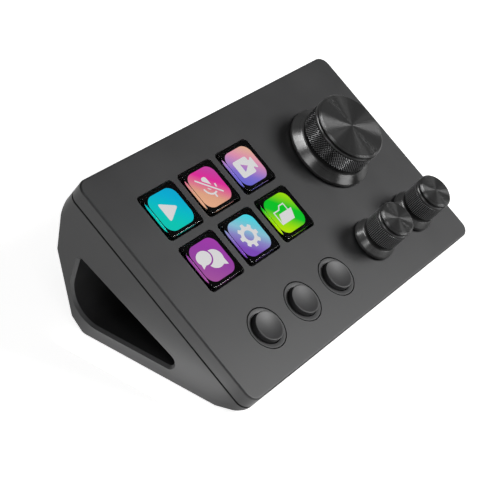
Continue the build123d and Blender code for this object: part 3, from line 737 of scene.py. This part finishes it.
# %% [markdown]
# ## Round buttons
#
# A button is turned plastic: a plain side, a softly rounded rim and a dished top that
# holds a fingertip. The dish is a shallow bowl, so light falls across it in one smooth
# sweep. A ring sits in the panel round each button, flush at its outer edge and sloping
# down to the button, with a fine groove round it.
# Under the panel both have a flange, whose size is measured on the CAD solid.

# %% Build the buttons and their rings
DISH_STEPS = 10
BUTTON_R = 4.9
BUTTON_DISH = 0.55
BUTTON_LID_R = 0.5
RIM_EASE = 0.45
DISH_EASE = 0.3
FLANGE_GAP = 0.15          # between a button's flange and the ring over it
FLANGE_SLICE = 0.1         # how far over its underside a flange is measured
RING_INNER_R = 5.15
RING_DIP = 0.12
RING_EASE = 0.12
RING_GROOVE = 0.06
RING_FLANGE_TOP = -2.0
RING_MEASURED_FROM = -0.5


def radius_at(node, place, low, high):
    """Largest distance from an axis of a node's vertices between two heights."""
    return max((point.xy - place).length for point in panel_points(node) if low <= point.z <= high)


def button(i):
    """One dished button with its flange."""
    node = f"button_{i}_cap"
    place = middle_of(node)
    low, high = panel_box(node)
    flange_r = radius_at(node, place, low.z, low.z + FLANGE_SLICE)
    flange_top = panel_box(f"button_{i}_ring")[0].z - FLANGE_GAP
    dish_r = BUTTON_R - RIM_EASE
    profile = [
        (BUTTON_LID_R, low.z),
        (flange_r, low.z),
        (flange_r, flange_top),
        (BUTTON_R, flange_top),
        (BUTTON_R, high.z, RIM_EASE),
        (dish_r, high.z, DISH_EASE),
    ]
    for step in range(1, DISH_STEPS):
        share = 1 - step / DISH_STEPS
        profile.append((dish_r * share, high.z - BUTTON_DISH * (1 - share**2)))
    mesh = bmesh.new()
    turn(mesh, profile)
    settle(f"button_{i}_dished_cap", mesh, place, f"button_{i}",
           [satin_abs], [node])


def ring(i):
    """The ring round one button. It ends short of the panel, which leaves the groove."""
    node = f"button_{i}_ring"
    place = middle_of(node)
    low, high = panel_box(node)
    outer_r = radius_at(node, place, RING_MEASURED_FROM, high.z) - RING_GROOVE
    flange_r = radius_at(node, place, low.z, low.z + FLANGE_SLICE)
    mesh = bmesh.new()
    turn(mesh, [
        (RING_INNER_R, low.z),
        (flange_r, low.z),
        (flange_r, RING_FLANGE_TOP),
        (outer_r, RING_FLANGE_TOP),
        (outer_r, high.z, RING_EASE),
        (RING_INNER_R, high.z - RING_DIP, RING_EASE),
    ], closed=True)
    settle(f"button_{i}_flush_ring", mesh, place, "housing", [satin_abs], [node])


for i in BUTTONS:
    button(i)
    ring(i)
print("buttons stand", round(panel_box("button_1_cap")[1].z, 2), "mm proud")

# %% [markdown]
# ## Anodised aluminium, turned on a lathe
#
# The knobs are turned from aluminium bar, knurled, and anodised black. Turning leaves
# fine rings round the axis. Each ring spreads light across itself but not along itself,
# so a lamp shows as a bright fan from the middle to the edge. The shader calls this
# anisotropic: its tangent runs along the rings, and its rotation of a quarter turn lays
# the wide side of the highlight across them.
# Both the tangent and the rings come from the knob's axis and the Object coordinates:
# the cross product of the axis and a point's offset runs round the knob, and its length
# is the distance from the axis. Vector Transform carries the tangent along when the
# knob is turned. Real tool marks are about 0.05 mm apart. They are drawn at 0.3 mm.
# Black anodising is dye in a clear oxide skin over the metal. The dye scatters a part
# of the light before it reaches the metal, so Metallic is 0.65 and not 1. Grooves get
# the same finish painted almost black, as painted shade, because light that enters them
# hardly comes out.

# %% Where a point lies round an axis


def about_axis(tree, axis_point):
    """A point's offset from the axis, the way round it, and how far from it the point is."""
    place = add(tree, "ShaderNodeTexCoord").outputs["Object"]
    offset = add(tree, "ShaderNodeVectorMath", {0: place, 1: axis_point}, operation="SUBTRACT")
    round_way = add(tree, "ShaderNodeVectorMath", {
        0: out_of_panel, 1: offset.outputs[0]}, operation="CROSS_PRODUCT")
    radius = add(tree, "ShaderNodeVectorMath", {0: round_way.outputs[0]}, operation="LENGTH")
    return place, offset.outputs[0], round_way.outputs[0], radius.outputs["Value"]


print("a knob's axis runs along", [round(value, 3) for value in out_of_panel])

# %% Turned aluminium
TOOL_MARK = 0.3
MARK_DEPTH = 0.0018
DRIFT_SCALE = 6.0
DYED_METALLIC = 0.65
DULLNESS_SWING = 0.06
QUARTER_TURN = 0.25
TURNED = {"dark": "#2b2b2b", "light": "#484848", "roughness": 0.3, "stretch": 0.9}
SPUN = {"dark": "#2a2a2a", "light": "#3c3c3c", "roughness": 0.36, "stretch": 1.0}
# Painted shade for the knob's neck and for the groove under its disc.
GROOVE_SHADE = {"dark": "#050505", "light": "#0c0c0c", "roughness": 0.5, "stretch": 0.5}


def turned_metal(name, axis_point, dark, light, roughness, stretch):
    """Anodised metal with rings round an axis through a point, in metres."""
    material, tree, surface = new_finish(name)
    _, offset, round_way, radius = about_axis(tree, axis_point)
    height = add(tree, "ShaderNodeVectorMath", {
        0: out_of_panel, 1: offset}, operation="DOT_PRODUCT")
    depth = add(tree, "ShaderNodeMath", {
        0: radius, 1: height.outputs["Value"]}, operation="SUBTRACT")
    rings = add(tree, "ShaderNodeTexNoise", {
        "W": depth.outputs[0], "Scale": per_mm(TOOL_MARK), "Detail": 3.0}, noise_dimensions="1D")
    bearing = add(tree, "ShaderNodeVectorMath", {0: round_way}, operation="NORMALIZE")
    drift = add(tree, "ShaderNodeTexNoise", {
        "Vector": bearing.outputs[0], "Scale": DRIFT_SCALE, "Detail": 2.0})
    wear = add(tree, "ShaderNodeMath", {
        0: rings.outputs["Fac"], 1: drift.outputs["Fac"]}, operation="MULTIPLY")
    colour = add(tree, "ShaderNodeMix", {
        "Factor": wear.outputs[0], "A": srgb(dark), "B": srgb(light)}, data_type="RGBA")
    dullness = add(tree, "ShaderNodeMapRange", {
        "Value": rings.outputs["Fac"],
        "To Min": roughness - DULLNESS_SWING, "To Max": roughness + DULLNESS_SWING})
    along = add(tree, "ShaderNodeVectorTransform", {"Vector": bearing.outputs[0]},
                vector_type="VECTOR", convert_from="OBJECT", convert_to="WORLD")
    bump = add(tree, "ShaderNodeBump", {
        "Height": rings.outputs["Fac"], "Distance": MARK_DEPTH * MM, "Strength": 1.0})
    metal = add(tree, "ShaderNodeBsdfPrincipled", {
        "Base Color": colour.outputs["Result"], "Metallic": DYED_METALLIC,
        "Roughness": dullness.outputs[0], "Anisotropic": stretch,
        "Anisotropic Rotation": QUARTER_TURN, "Tangent": along.outputs[0],
        "Normal": bump.outputs[0]})
    tree.links.new(metal.outputs[0], surface)
    return material


print("tool marks are drawn", TOOL_MARK, "mm apart")

# %% [markdown]
# ## Knurled aluminium
#
# Knurling is pressed into the grip before anodising. Hands polish the tips of the teeth,
# which glint. The grooves are painted almost black, as painted shade, since light that
# enters them hardly comes out. The colour follows a point's distance from the axis:
# groove, then flank, then tip. The small knobs' straight ridges are polished less than
# the big knob's diamonds, so they shine less sharply. Pitch and cut are in millimetres.

# %% The finish of the teeth
DIAMONDS = {"pitch": 0.95, "cut": 0.3, "crossed": 1,
            "tip": "#7a7a7b", "roughness": 0.27, "metallic": 1.0}
RIDGES = {"pitch": 0.62, "cut": 0.2, "crossed": 0,
          "tip": "#9a9a9b", "roughness": 0.34, "metallic": 0.75}
# The colour of the painted shade at the bottom of a knurl's grooves.
TOOTH_GROOVE_SHADE = "#020202"
# The power lets the painted groove shade climb the flanks, so only the tip is bright polish.
TIP_POWER = 2.0            # over 1, so that only the uppermost part of a tooth is bright
BRUISE_SIZE = 0.35
BRUISE_LESS = 0.04
BRUISE_MORE = 0.06


def knurled_metal(name, axis_point, radius, teeth):
    """The same metal where the knurling tool pressed it, up to a radius in millimetres."""
    material, tree, surface = new_finish(name)
    place, _, _, reach = about_axis(tree, axis_point)
    height = add(tree, "ShaderNodeMapRange", {
        "Value": reach, "From Min": (radius - teeth["cut"]) * MM, "From Max": radius * MM})
    polish_and_shade = add(tree, "ShaderNodeMath", {0: height.outputs[0], 1: TIP_POWER}, operation="POWER")
    # Painted shade at the bottom of the grooves, lighter polished metal on the tips.
    colour = add(tree, "ShaderNodeMix", {
        "Factor": polish_and_shade.outputs[0], "A": srgb(TOOTH_GROOVE_SHADE), "B": srgb(teeth["tip"])},
        data_type="RGBA")
    bruise = add(tree, "ShaderNodeTexNoise", {
        "Vector": place, "Scale": per_mm(BRUISE_SIZE), "Detail": 3.0})
    dullness = add(tree, "ShaderNodeMapRange", {
        "Value": bruise.outputs["Fac"],
        "To Min": teeth["roughness"] - BRUISE_LESS, "To Max": teeth["roughness"] + BRUISE_MORE})
    metal = add(tree, "ShaderNodeBsdfPrincipled", {
        "Base Color": colour.outputs["Result"], "Metallic": teeth["metallic"],
        "Roughness": dullness.outputs[0]})
    tree.links.new(metal.outputs[0], surface)
    return material


print("diamonds every", DIAMONDS["pitch"], "mm, ridges every", RIDGES["pitch"], "mm")

# %% [markdown]
# ## Knurling with Geometry Nodes
#
# A knurling tool rolls rows of small pyramids into the grip, with V grooves between
# them that run both ways round it. The rule is simple, so nodes make it: on a cylinder
# with an even number of points round it, every second point, in a chequer, is pushed in
# to the bottom of the groove. Splitting each cell along its shorter diagonal joins the
# low points, and what is left between them are pyramids. On the small knobs the same
# points are pushed in on every row, which leaves straight ridges along the axis. The rows
# at both ends are pushed in all round, as the tool's own bevel leaves them.
# Sizes are inputs, so one tree makes the grips of all three knobs.

# %% The knurling tree


def knurling_tree():
    """A cylinder's wall, pressed into teeth. Width is the band's height along its axis."""
    tree = bpy.data.node_groups.new("knurling", "GeometryNodeTree")
    for name, kind in (("Radius", "Float"), ("Depth", "Float"), ("Width", "Float"),
                       ("Teeth", "Int"), ("Rows", "Int"), ("Crossed", "Int"), ("Finish", "Material")):
        tree.interface.new_socket(name, in_out="INPUT", socket_type=f"NodeSocket{kind}")
    tree.interface.new_socket("Grip", in_out="OUTPUT", socket_type="NodeSocketGeometry")
    sizes = add(tree, "NodeGroupInput").outputs
    points = add(tree, "ShaderNodeMath", {0: sizes["Teeth"], 1: 2.0}, operation="MULTIPLY")
    steps = add(tree, "ShaderNodeMath", {0: sizes["Rows"], 1: 2.0}, operation="MULTIPLY")
    band = add(tree, "GeometryNodeMeshCylinder", {
        "Vertices": points.outputs[0], "Side Segments": steps.outputs[0],
        "Radius": sizes["Radius"], "Depth": sizes["Width"]})
    index = add(tree, "GeometryNodeInputIndex")
    share = add(tree, "ShaderNodeMath", {0: index.outputs[0], 1: points.outputs[0]}, operation="DIVIDE")
    row = add(tree, "ShaderNodeMath", {0: share.outputs[0]}, operation="FLOOR")
    shift = add(tree, "ShaderNodeMath", {0: row.outputs[0], 1: sizes["Crossed"]}, operation="MULTIPLY")
    count = add(tree, "ShaderNodeMath", {0: index.outputs[0], 1: shift.outputs[0]}, operation="ADD")
    chequer = add(tree, "ShaderNodeMath", {0: count.outputs[0], 1: 2.0}, operation="MODULO")
    first = add(tree, "ShaderNodeMath", {0: row.outputs[0], 1: 0.5}, operation="LESS_THAN")
    before_last = add(tree, "ShaderNodeMath", {0: steps.outputs[0], 1: 0.5}, operation="SUBTRACT")
    last = add(tree, "ShaderNodeMath", {
        0: row.outputs[0], 1: before_last.outputs[0]}, operation="GREATER_THAN")
    ends = add(tree, "ShaderNodeMath", {0: first.outputs[0], 1: last.outputs[0]}, operation="MAXIMUM")
    low = add(tree, "ShaderNodeMath", {0: chequer.outputs[0], 1: ends.outputs[0]}, operation="MAXIMUM")
    cut = add(tree, "ShaderNodeMath", {0: sizes["Depth"], 1: sizes["Radius"]}, operation="DIVIDE")
    drop = add(tree, "ShaderNodeMath", {0: low.outputs[0], 1: cut.outputs[0]}, operation="MULTIPLY")
    keep = add(tree, "ShaderNodeMath", {0: 1.0, 1: drop.outputs[0]}, operation="SUBTRACT")
    scale = add(tree, "ShaderNodeCombineXYZ", {"X": keep.outputs[0], "Y": keep.outputs[0], "Z": 1.0})
    here = add(tree, "GeometryNodeInputPosition")
    there = add(tree, "ShaderNodeVectorMath", {
        0: here.outputs[0], 1: scale.outputs[0]}, operation="MULTIPLY")
    pressed = add(tree, "GeometryNodeSetPosition", {
        "Geometry": band.outputs["Mesh"], "Position": there.outputs[0]})
    split = add(tree, "GeometryNodeTriangulate", {
        "Mesh": pressed.outputs[0]}, quad_method="SHORTEST_DIAGONAL")
    crisp = add(tree, "GeometryNodeSetShadeSmooth", {
        "Geometry": split.outputs[0], "Shade Smooth": False})
    real = add(tree, "GeometryNodeRealizeInstances", {"Geometry": crisp.outputs[0]})
    done = add(tree, "GeometryNodeSetMaterial", {
        "Geometry": real.outputs[0], "Material": sizes["Finish"]})
    add(tree, "NodeGroupOutput", {"Grip": done.outputs[0]})
    return tree


knurling = knurling_tree()
print("knurling tree has", len(knurling.nodes), "nodes")

# %% [markdown]
# ## The knurled band
#
# The tree runs once for each knob, as a modifier on an empty object. What it makes is
# then kept as a plain mesh, and the modifier goes. The band overlaps the plain rim over
# it by a hair, so no gap shows between the two.

# %% Build a knurled band
BAND_LAP = 0.02


def grip_band(name, place, radius, low, high, body, finish, teeth):
    """The knurled band between two heights, as its own mesh."""
    holder = bpy.data.objects.new(name, bpy.data.meshes.new(name))
    bpy.context.scene.collection.objects.link(holder)
    modifier = holder.modifiers.new("Knurling", "NODES")
    modifier.node_group = knurling
    values = {
        "Radius": radius,
        "Depth": teeth["cut"],
        "Width": high - low,
        "Teeth": round(2 * math.pi * radius / teeth["pitch"]),
        "Rows": round((high - low) / teeth["pitch"]),
        "Crossed": teeth["crossed"],
        "Finish": finish,
    }
    for item in knurling.interface.items_tree:
        if item.in_out == "INPUT":
            modifier[item.identifier] = values[item.name]
    bpy.context.view_layer.update()
    ready = holder.evaluated_get(bpy.context.evaluated_depsgraph_get())
    data = bpy.data.meshes.new_from_object(ready)
    holder.modifiers.clear()
    holder.data = data
    data.transform(PANEL @ Matrix.Translation((place.x, place.y, (low + high) / 2)))
    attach(holder, body)
    print(name, "has", values["Teeth"], "teeth and", len(data.polygons), "faces")


# %% [markdown]
# ## The knobs
#
# Each knob has a bevelled foot, a narrow neck, the knurled grip with a plain rim over it,
# and a separate top disc over a fine groove. Neck and groove are painted almost black as
# painted shade. The turned body and the disc are profiles. The knurled band is the tree's
# mesh, laid over a core that is a little smaller than the bottom of its grooves. All of it
# rides on the knob's dial, which turns, and the dial rides on its push.

# %% A turned body
FOOT_EDGE = 1.0
FOOT_EASE = 0.15
BEVEL_RISE = 2.1
BEVEL_EASE = 0.2
NECK_RISE = 1.4
NECK_DEPTH = 0.6
EDGE_EASE = 0.1
NECK_MARGIN = 0.2          # faces this far inside the grip's radius belong to the neck
CORE_GAP = 0.05
CORE_EASE = 0.05
PLAIN_RIM = 0.9
RIM_CHAMFER = 0.45
RIM_LID = 0.9
RECESS_R = 4.3
RECESS_RISE = 1.5


def turned_body(side, place, foot_r, grip_r, foot_low, rim_top, teeth, materials):
    """The turned part of a knob. Returns the heights between which it is knurled."""
    foot_top = foot_low + FOOT_EDGE
    bevel_top = foot_top + BEVEL_RISE
    neck_top = bevel_top + NECK_RISE
    neck_r = grip_r - NECK_DEPTH
    core_r = grip_r - teeth["cut"] - CORE_GAP
    band_top = rim_top - PLAIN_RIM
    mesh = bmesh.new()
    turn(mesh, [
        (RECESS_R, foot_low + RECESS_RISE),
        (RECESS_R, foot_low),
        (foot_r, foot_low, FOOT_EASE),
        (foot_r, foot_top, BEVEL_EASE),
        (grip_r, bevel_top, BEVEL_EASE),
        (neck_r, bevel_top, EDGE_EASE),
        (neck_r, neck_top, EDGE_EASE),
        (core_r, neck_top, CORE_EASE),
        (core_r, band_top),
        (grip_r, band_top, EDGE_EASE),
        (grip_r, rim_top, RIM_CHAMFER),
        (grip_r - RIM_LID, rim_top),
    ])
    # Faces in the neck get the almost black finish: painted shade.
    for face in mesh.faces:
        centre = face.calc_center_median()
        in_neck = bevel_top < centre.z < neck_top and centre.xy.length < grip_r - NECK_MARGIN
        face.material_index = int(in_neck)
    settle(f"{side}_knob_turned", mesh, place, f"{side}_dial",
           materials, [f"{side}_knob"])
    return neck_top, band_top


print("a foot and its bevel are", FOOT_EDGE + BEVEL_RISE, "mm high")

# %% A spun disc
GROOVE_DEPTH = 0.6
GROOVE_WIDTH = 0.8
DISC_INSET = 0.12
DISC_CHAMFER = 0.55
DISC_SINK = 0.3
DISC_EDGE_EASE = 0.08
DISC_TOP_EASE = 0.15
DISC_LID = 0.4


def spun_disc(side, place, disc_r, rim_top, disc_top, materials):
    """The top disc, on a narrower neck that leaves the groove over the rim."""
    groove_top = rim_top + GROOVE_WIDTH
    mesh = bmesh.new()
    turn(mesh, [
        (disc_r - GROOVE_DEPTH, rim_top - DISC_SINK),
        (disc_r - GROOVE_DEPTH, groove_top),
        (disc_r, groove_top, DISC_EDGE_EASE),
        (disc_r, disc_top - DISC_CHAMFER, DISC_EDGE_EASE),
        (disc_r - DISC_CHAMFER, disc_top, DISC_TOP_EASE),
        (disc_r - DISC_CHAMFER - DISC_LID, disc_top),
    ])
    # Faces below the groove's top get the almost black finish: painted shade.
    for face in mesh.faces:
        face.material_index = int(face.calc_center_median().z < groove_top)
    settle(f"{side}_knob_spun_disc", mesh, place, f"{side}_dial",
           materials, [f"{side}_knob_disc"])


print("the groove under a disc is", GROOVE_WIDTH, "mm wide")

# %% Build the three knobs


def knob(side):
    """One whole knob, with its radii and heights measured on the CAD solids."""
    node = f"{side}_knob"
    place = middle_of(node)
    low, high = panel_box(node)
    disc_top = panel_box(f"{side}_knob_disc")[1].z
    foot_r = radius_at(node, place, low.z, high.z)
    grip_r = radius_at(node, place, low.z + FOOT_EDGE + BEVEL_RISE + NECK_RISE, high.z)
    axis_point = Vector(joints[f"{side}_turn"]["pos_m"])
    teeth = DIAMONDS if side == "big" else RIDGES
    finish = "anodised_aluminium"
    turned = turned_metal(f"{finish}_turned_{side}", axis_point, **TURNED)
    spun = turned_metal(f"{finish}_spun_{side}", axis_point, **SPUN)
    groove_shade = turned_metal(f"{finish}_groove_{side}", axis_point, **GROOVE_SHADE)
    knurled = knurled_metal(f"{finish}_knurled_{side}", axis_point, grip_r, teeth)
    band_low, band_top = turned_body(
        side, place, foot_r, grip_r, low.z, high.z, teeth, [turned, groove_shade])
    grip_band(f"{side}_knob_knurl", place, grip_r, band_low, band_top + BAND_LAP, f"{side}_dial",
              knurled, teeth)
    spun_disc(side, place, grip_r - DISC_INSET, high.z, disc_top, [spun, groove_shade])
    print(node, "foot", round(foot_r, 2), "grip", round(grip_r, 2), "top", round(disc_top, 2), "mm")


for side in KNOBS:
    knob(side)

# %% [markdown]
# ## Floor, lamps and background
#
# A product studio in small. A pale floor throws light up at the wedge. One softbox over
# the front right corner is the key light, a faint one fills from the left, and a low strip
# and a low box pick out the underside of the left wall.
# Black metal is lit apart from plastic: it shows the lamps themselves and not their light
# on it. So the key leaves the knobs out, and they get lamps of their own, which draw the
# bow tie on a spun disc, the bands on a bevel and the sparkle on a knurl. Light linking
# says which pieces a lamp lights.
# The clear keys get the key light from a wider, fainter box: a small strong lamp seen
# through a rounded edge breaks into dots, a wide one draws a line. A black card on the
# floor under the front overhang, seen only in reflections, is a painted shadow: it stands
# for the floor's shade there and gives the front edge a dark line against the white.
# Lamps are only as strong as a grey card needs to look grey. The floor and the background
# glow white to the camera and to metal and glass. To everything else the floor doesn't
# glow and the background is dim, so they add hardly any light to the object.

# %% Floor
FLOOR_HALF = 3.0
FLOOR_CLOUD = 300
FLOOR_GLOW = 0.85
SHADOW_CARD_EDGES = (-0.05, 0.085, -0.05, -0.02)    # left, right, front and back, in metres
SHADOW_CARD_LIFT = 0.0003


def pale_floor(name):
    """White paper that keeps the object's shadow and still reaches white behind it."""
    material, tree, surface = new_finish(name)
    place = add(tree, "ShaderNodeTexCoord").outputs["Object"]
    cloud = add(tree, "ShaderNodeTexNoise", {
        "Vector": place, "Scale": per_mm(FLOOR_CLOUD), "Detail": 2.0})
    colour = add(tree, "ShaderNodeMix", {
        "Factor": cloud.outputs["Fac"], "A": srgb("#efefee"), "B": srgb("#f4f4f3")}, data_type="RGBA")
    rays = add(tree, "ShaderNodeLightPath")
    seen = add(tree, "ShaderNodeMath", {
        0: rays.outputs["Is Camera Ray"], 1: rays.outputs["Is Glossy Ray"]}, operation="ADD")
    seen_at_all = add(tree, "ShaderNodeMath", {
        0: seen.outputs[0], 1: rays.outputs["Is Transmission Ray"]}, operation="ADD", use_clamp=True)
    glow = add(tree, "ShaderNodeMath", {
        0: seen_at_all.outputs[0], 1: FLOOR_GLOW}, operation="MULTIPLY")
    paper = add(tree, "ShaderNodeBsdfPrincipled", {
        "Base Color": colour.outputs["Result"], "Roughness": 0.9, "Specular IOR Level": 0.0,
        "Emission Color": srgb("#ffffff"), "Emission Strength": glow.outputs[0]})
    tree.links.new(paper.outputs[0], surface)
    return material


def flat_sheet(name, left, right, front, back, height, material):
    """A level rectangle of the studio, in metres."""
    mesh = bmesh.new()
    corners = [(left, front), (right, front), (right, back), (left, back)]
    mesh.faces.new([mesh.verts.new((x, y, height)) for x, y in corners])
    data = bpy.data.meshes.new(name)
    mesh.to_mesh(data)
    mesh.free()
    data.materials.append(material)
    sheet = bpy.data.objects.new(name, data)
    bpy.context.scene.collection.objects.link(sheet)
    return sheet


flat_sheet("floor", -FLOOR_HALF, FLOOR_HALF, -FLOOR_HALF, FLOOR_HALF, 0, pale_floor("paper_white"))
# A black sheet that paints the floor's shade under the front overhang, seen only in reflections.
card = flat_sheet("painted_shadow_card", *SHADOW_CARD_EDGES, SHADOW_CARD_LIFT, sprayed_black)
card.visible_camera = False
card.visible_diffuse = False
card.visible_transmission = False
card.visible_shadow = False
print("a black card, seen only in reflections, lies under the front edge")

# %% A lamp, and which pieces it lights


def softbox(name, direction, distance, width, length, level, along=(0, 0, 1), aim=(0, 0, 0.02)):
    """A lamp that lights a card facing it at a level, where 1 shows a colour as written.

    The direction goes from the aim to the lamp. Distance, width and length are in metres.
    """
    data = bpy.data.lights.new(name, "AREA")
    data.shape = "RECTANGLE"
    data.size = width
    data.size_y = length
    data.energy = level * math.pi**2 * distance**2
    toward = Vector(direction).normalized()
    sideways = Vector(along).cross(toward).normalized()
    turned = Matrix((sideways, toward.cross(sideways), toward)).transposed().to_4x4()
    lamp = bpy.data.objects.new(name, data)
    lamp.matrix_world = Matrix.Translation(Vector(aim) + toward * distance) @ turned
    lamp.visible_camera = False
    bpy.context.scene.collection.objects.link(lamp)
    print(name, "gives", round(data.energy, 2), "W")
    return lamp


def light_only(lamps, pieces, name):
    """Lets lamps light those pieces and nothing else."""
    receivers = bpy.data.collections.new(name)
    for piece in pieces:
        receivers.objects.link(bpy.data.objects[piece])
    for lamp in lamps:
        lamp.light_linking.receiver_collection = receivers
    return receivers


print("a lamp at level 1 gives", round(math.pi**2, 2), "W at one metre")

# %% Lamps for plastic
KEY_DIRECTION = (0.515, -0.646, 0.563)

key_lamp = softbox("softbox_key", KEY_DIRECTION, 1.0, 0.34, 0.34, 0.78)
softbox("softbox_left", (-0.52, -0.33, 0.79), 0.8, 0.3, 0.3, 0.1)
softbox("strip_on_floor", (-0.97, 0, -0.24), 0.009, 0.05, 0.003, 2.7, aim=(-0.065, 0.001, 0.004))
softbox("softbox_floor_left", (-1.0, -0.35, 0.0), 0.14, 0.16, 0.02, 0.13, aim=(-0.065, -0.01, 0.01))

# %% Lamps for clear keys and black metal
NEAR = 0.6

turned_bodies = [f"{side}_knob_turned" for side in KNOBS]
knurls = [f"{side}_knob_knurl" for side in KNOBS]
discs = [f"{side}_knob_spun_disc" for side in KNOBS]
clear_caps = [f"key_{i}_clear_cap" for i in KEYS]
flagged = light_only([key_lamp], turned_bodies + knurls + discs + clear_caps, "flagged_from_key")
for member in flagged.collection_objects:
    member.light_linking.link_state = "EXCLUDE"
light_only([
    softbox("softbox_key_for_acrylic", KEY_DIRECTION, 1.0, 0.45, 0.45, 0.55),
], clear_caps, "clear_caps")
light_only([
    softbox("softbox_overhead", (0.06, 0.05, 0.98), NEAR, 0.27, 0.30, 2.0, along=(0.85, -0.53, 0)),
    softbox("softbox_overhead_left", (-0.48, -0.34, 0.80), NEAR, 0.16, 0.26, 0.35, along=(0.85, 0.3, 0)),
    softbox("softbox_low_left", (-0.91, 0.02, 0.40), NEAR, 0.2, 0.2, 0.12),
], turned_bodies + knurls + discs, "all_black_metal")
light_only([
    softbox("softbox_front", (0.37, -0.91, 0.14), NEAR, 0.34, 0.1, 0.5),
], turned_bodies + discs, "plain_black_metal")
light_only([
    softbox("softbox_small_feet", (-0.82, -0.28, 0.5), NEAR, 0.14, 0.14, 0.3),
    softbox("softbox_small_feet_back", (-0.35, 0.7, 0.62), NEAR, 0.14, 0.14, 0.35),
], turned_bodies[1:], "small_turned_bodies")
light_only([
    softbox("strip_front", (0.50, -0.74, 0.35), NEAR, 0.01, 0.4, 0.05, along=(0.22, 0.28, 0.46)),
    softbox("strip_right", (0.80, -0.50, 0.25), NEAR, 0.01, 0.3, 0.05, along=(0, 0.13, 0.28)),
], discs, "spun_discs")
light_only([
    softbox("sparkle_left", (-0.87, -0.40, 0.27), NEAR, 0.1, 0.1, 0.26),
    softbox("sparkle_front", (-0.42, -0.86, 0.28), NEAR, 0.1, 0.1, 0.16),
    softbox("sparkle_back", (-0.57, 0.48, 0.66), NEAR, 0.1, 0.1, 0.06),
], knurls, "knurled_grips")

# %% Background
CEILING_FROM = 0.1         # the sine of the height over the horizon where white begins to fade
CEILING_TO = 0.35
CEILING_LEFT = 0.05
DIM = 0.07

world = bpy.data.worlds.new("studio")
bpy.context.scene.world = world
world.use_nodes = True
sky = world.node_tree
sky.nodes.clear()
direction = add(sky, "ShaderNodeTexCoord").outputs["Generated"]
upward = add(sky, "ShaderNodeSeparateXYZ", {0: direction})
ceiling = add(sky, "ShaderNodeMapRange", {
    "Value": upward.outputs["Z"], "From Min": CEILING_FROM, "From Max": CEILING_TO,
    "To Min": 1.0, "To Max": CEILING_LEFT})
rays = add(sky, "ShaderNodeLightPath")
mirrored = add(sky, "ShaderNodeMath", {
    0: rays.outputs["Is Glossy Ray"], 1: rays.outputs["Is Transmission Ray"]}, operation="MAXIMUM")
backdrop = add(sky, "ShaderNodeMath", {
    0: mirrored.outputs[0], 1: ceiling.outputs[0]}, operation="MULTIPLY")
seen = add(sky, "ShaderNodeMath", {
    0: backdrop.outputs[0], 1: rays.outputs["Is Camera Ray"]}, operation="MAXIMUM")
strength = add(sky, "ShaderNodeMath", {0: seen.outputs[0], 1: DIM}, operation="MAXIMUM")
room = add(sky, "ShaderNodeBackground", {"Color": srgb("#ffffff"), "Strength": strength.outputs[0]})
add(sky, "ShaderNodeOutputWorld", {"Surface": room.outputs[0]})
bpy.context.scene.view_settings.view_transform = "Standard"
print("the background gives plastic", DIM, "of white")
